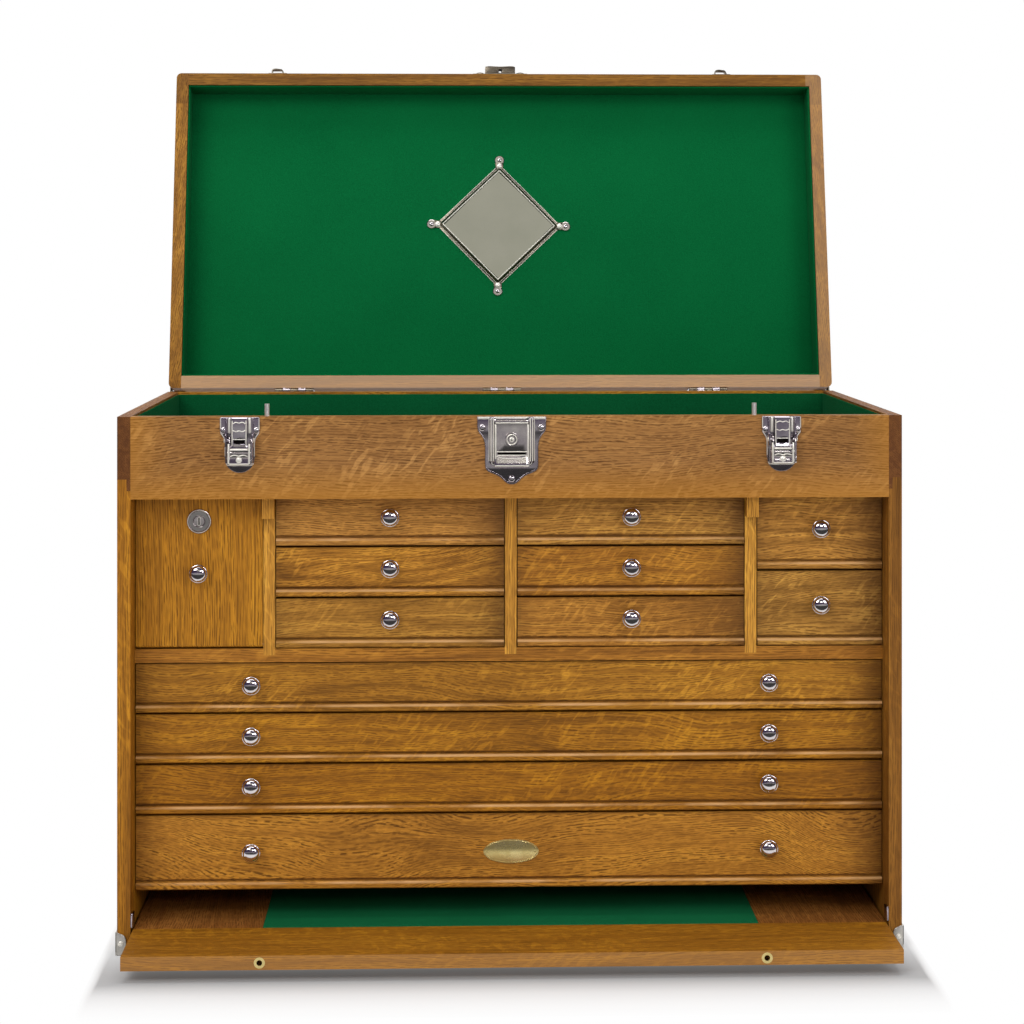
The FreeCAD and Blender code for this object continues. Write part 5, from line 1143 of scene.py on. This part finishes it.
# ---------------------------------------------------------------- end handles
def make_handles():
    """Thick leather grips, stitched along both edges, with a rivet through each arm."""
    for label, side in (("left", -1), ("right", 1)):
        shape = Shape()
        shape.add(bar((-3.6, 3.6), (-55.6, 55.6), (-36.0, -19.0), 3.0, 5))
        for end in (-1, 1):
            shape.add(bar((-3.1, 3.1), (end * 46.6, end * 55.6), (-30.0, 3.5), 2.6, 5))
            shape.add(lathe([(2.4, 0), (2.3, 0.4), (1.6, 0.75), (0, 0.85)], 24),
                      at(side * 3.0, end * 51.1, -27.5, side * 90, "Y"), 1)
        stitches = []
        for step in range(22):
            start = -44.0 + 4.0 * step
            for height in (-34.2, -20.8):
                stitches.append([(side * 3.4, start + 0.6, height), (side * 3.58, start + 1.8, height, "s"),
                                 (side * 3.4, start + 3.0, height)])
        shape.add(bead(stitches, 0.32), None, 2)
        shape.done("grip_" + label, "handle_" + label, [LEATHER, NICKEL, THREAD], ["handle_" + label],
                   angle=60, place=at(side * GRIP_PIN_OUT, 0, GRIP_PIN_HIGH))


# ---------------------------------------------------------------- stage, lights and camera
def make_floor():
    """A white floor that keeps the chest's shadow, with a painted shadow near its foot, and fades into the white
    behind it; metal sees it dark in a band before the chest, a painted reflection.
    """
    bm = bmesh.new()
    bmesh.ops.create_circle(bm, cap_ends=True, segments=64, radius=9.0)
    mesh = bpy.data.meshes.new("floor")
    bm.to_mesh(mesh)
    bm.free()
    floor = bpy.data.objects.new("floor", mesh)
    bpy.context.scene.collection.objects.link(floor)
    material, nodes, shader = new_material("white floor")
    shader.inputs["Roughness"].default_value = 0.9
    shader.inputs["Specular IOR Level"].default_value = 0.0
    path = nodes.add("ShaderNodeLightPath")
    seen = nodes.larger(path.outputs["Is Camera Ray"], path.outputs["Is Glossy Ray"])
    seen = nodes.larger(seen, path.outputs["Is Transmission Ray"])
    place = nodes.add("ShaderNodeTexCoord")
    spot = nodes.split(place.outputs["Object"])
    deep = nodes.divided(spot[1], -9.0, clamp=True)
    # Glossy rays see the floor glow dark in a band before the chest and paler far off: a painted reflection for the
    # metal.
    dim = nodes.ramp(deep, [(0.0475, 1.0), (0.054, 0.06), (0.2, 0.05), (0.31, 0.45)])
    glow = nodes.add("ShaderNodeEmission")
    nodes.join(nodes.mix(path.outputs["Is Glossy Ray"], (1, 1, 1, 1), dim), glow.inputs["Strength"])
    aside = nodes.larger(nodes.minus(nodes.absolute(spot[0]), 0.335), 0.0)
    ahead = nodes.larger(nodes.minus(nodes.times(spot[1], -1.0), 0.235), 0.0)
    away = nodes.add("ShaderNodeCombineXYZ")
    nodes.join(nodes.times(aside, 9.0), away.inputs[0])
    nodes.join(ahead, away.inputs[1])
    length = nodes.add("ShaderNodeVectorMath", operation="LENGTH")
    nodes.join(away.outputs[0], length.inputs[0])
    away_from_foot = nodes.divided(length.outputs["Value"], 0.2)
    # The floor's colour darkens towards the chest's foot: a painted shadow.
    nodes.join(nodes.ramp(away_from_foot, [(0.0, 0.5), (0.14, 0.74), (0.3, 0.86)]), shader.inputs["Base Color"])
    far = nodes.ramp(away_from_foot, [(0.0, 0.0), (0.15, 0.35), (0.42, 1.0)])
    beside = nodes.ramp(nodes.times_plus(spot[1], 4.0, 1.0), [(0.1, 0.0), (0.75, 1.0)])
    far = nodes.larger(far, beside)
    blend = nodes.add("ShaderNodeMixShader")
    nodes.join(nodes.times(far, seen), blend.inputs[0])
    nodes.join(shader.outputs[0], blend.inputs[1])
    nodes.join(glow.outputs[0], blend.inputs[2])
    output = [node for node in material.node_tree.nodes if node.type == "OUTPUT_MATERIAL"][0]
    nodes.join(blend.outputs[0], output.inputs["Surface"])
    mesh.materials.append(material)


def make_world():
    """White to the camera, even grey for the light; bright metal sees a dark room with one pale window."""
    world = bpy.data.worlds.new("studio")
    bpy.context.scene.world = world
    world.use_nodes = True
    nodes = Nodes(world.node_tree)
    back = [node for node in world.node_tree.nodes if node.type == "BACKGROUND"][0]
    path = nodes.add("ShaderNodeLightPath")
    place = nodes.add("ShaderNodeTexCoord")
    axes = nodes.split(place.outputs["Generated"])
    height = nodes.times_plus(axes[2], 0.5, 0.5)
    dusk = (0.05, 0.038, 0.085, 1)
    front = nodes.ramp(height, [(0.46, dusk), (0.5, (0.34, 0.31, 0.36, 1)), (0.535, (0.09, 0.07, 0.12, 1)),
                                (0.57, dusk), (0.93, dusk), (0.985, (0.9, 0.9, 0.88, 1))])
    tall = nodes.ramp(height, [(0.61, 0.0), (0.65, 1.0), (0.76, 1.0), (0.81, 0.0)])
    wide = nodes.ramp(nodes.absolute(axes[0]), [(0.1, 1.0), (0.22, 0.0)])
    front = nodes.mix(nodes.times(tall, wide), front, (0.54, 0.535, 0.47, 1))
    turn = nodes.ramp(nodes.times_plus(axes[1], 0.5, 0.5), [(0.5, 0.0), (0.75, 1.0)])
    room = nodes.mix(turn, front, (1, 1, 1, 1))
    room = nodes.mix(path.outputs["Is Camera Ray"], room, (1, 1, 1, 1))
    seen = nodes.larger(path.outputs["Is Camera Ray"], path.outputs["Is Glossy Ray"])
    seen = nodes.larger(seen, path.outputs["Is Transmission Ray"])
    colour = nodes.mix(seen, (0.45, 0.45, 0.46, 1), room)
    nodes.join(colour, back.inputs["Color"])


def softbox(name, place, aim, wide, tall, power):
    """A flat lamp that faces a point."""
    light = bpy.data.lights.new(name, "AREA")
    light.shape = "RECTANGLE"
    light.size = wide
    light.size_y = tall
    light.energy = power
    item = bpy.data.objects.new(name, light)
    item.location = place
    item.rotation_euler = (Vector(aim) - Vector(place)).to_track_quat("-Z", "Y").to_euler()
    bpy.context.scene.collection.objects.link(item)


def make_lights():
    """Three large flat lamps and a small one, all before or above the chest."""
    softbox("key softbox", (-1.6, -2.2, 2.3), (0, 0, 0.35), 1.8, 1.2, 37)
    softbox("fill softbox", (2.0, -2.4, 1.6), (0, 0, 0.35), 1.4, 1.4, 21)
    softbox("top softbox", (0, -0.2, 2.6), (0, 0.05, 0.4), 2.2, 1.2, 24)
    softbox("small softbox", (0.5, -2.6, 1.15), (0, 0, 0.3), 0.42, 0.3, 5)


def make_camera():
    """A long lens a little over the rim, shifted down so that uprights stay upright."""
    camera = bpy.data.cameras.new("camera")
    camera.sensor_width = 36.0
    camera.lens = 74.87
    camera.shift_y = -0.2525
    item = bpy.data.objects.new("camera", camera)
    item.location = (-0.05325, -1.9523, 0.58733)
    item.rotation_euler = (math.radians(90), 0, math.radians(-1.713))
    bpy.context.scene.collection.objects.link(item)
    bpy.context.scene.camera = item


finish_wood()
finish_rest()
make_knobs()
make_door_lock()
make_badge()
make_lock()
make_latches()
make_mirror()
make_hinges()
make_strikes()
make_guards()
make_handle_ears()
make_felt()
make_handles()
make_floor()
make_world()
make_lights()
make_camera()
bpy.context.scene.view_settings.view_transform = "Standard"
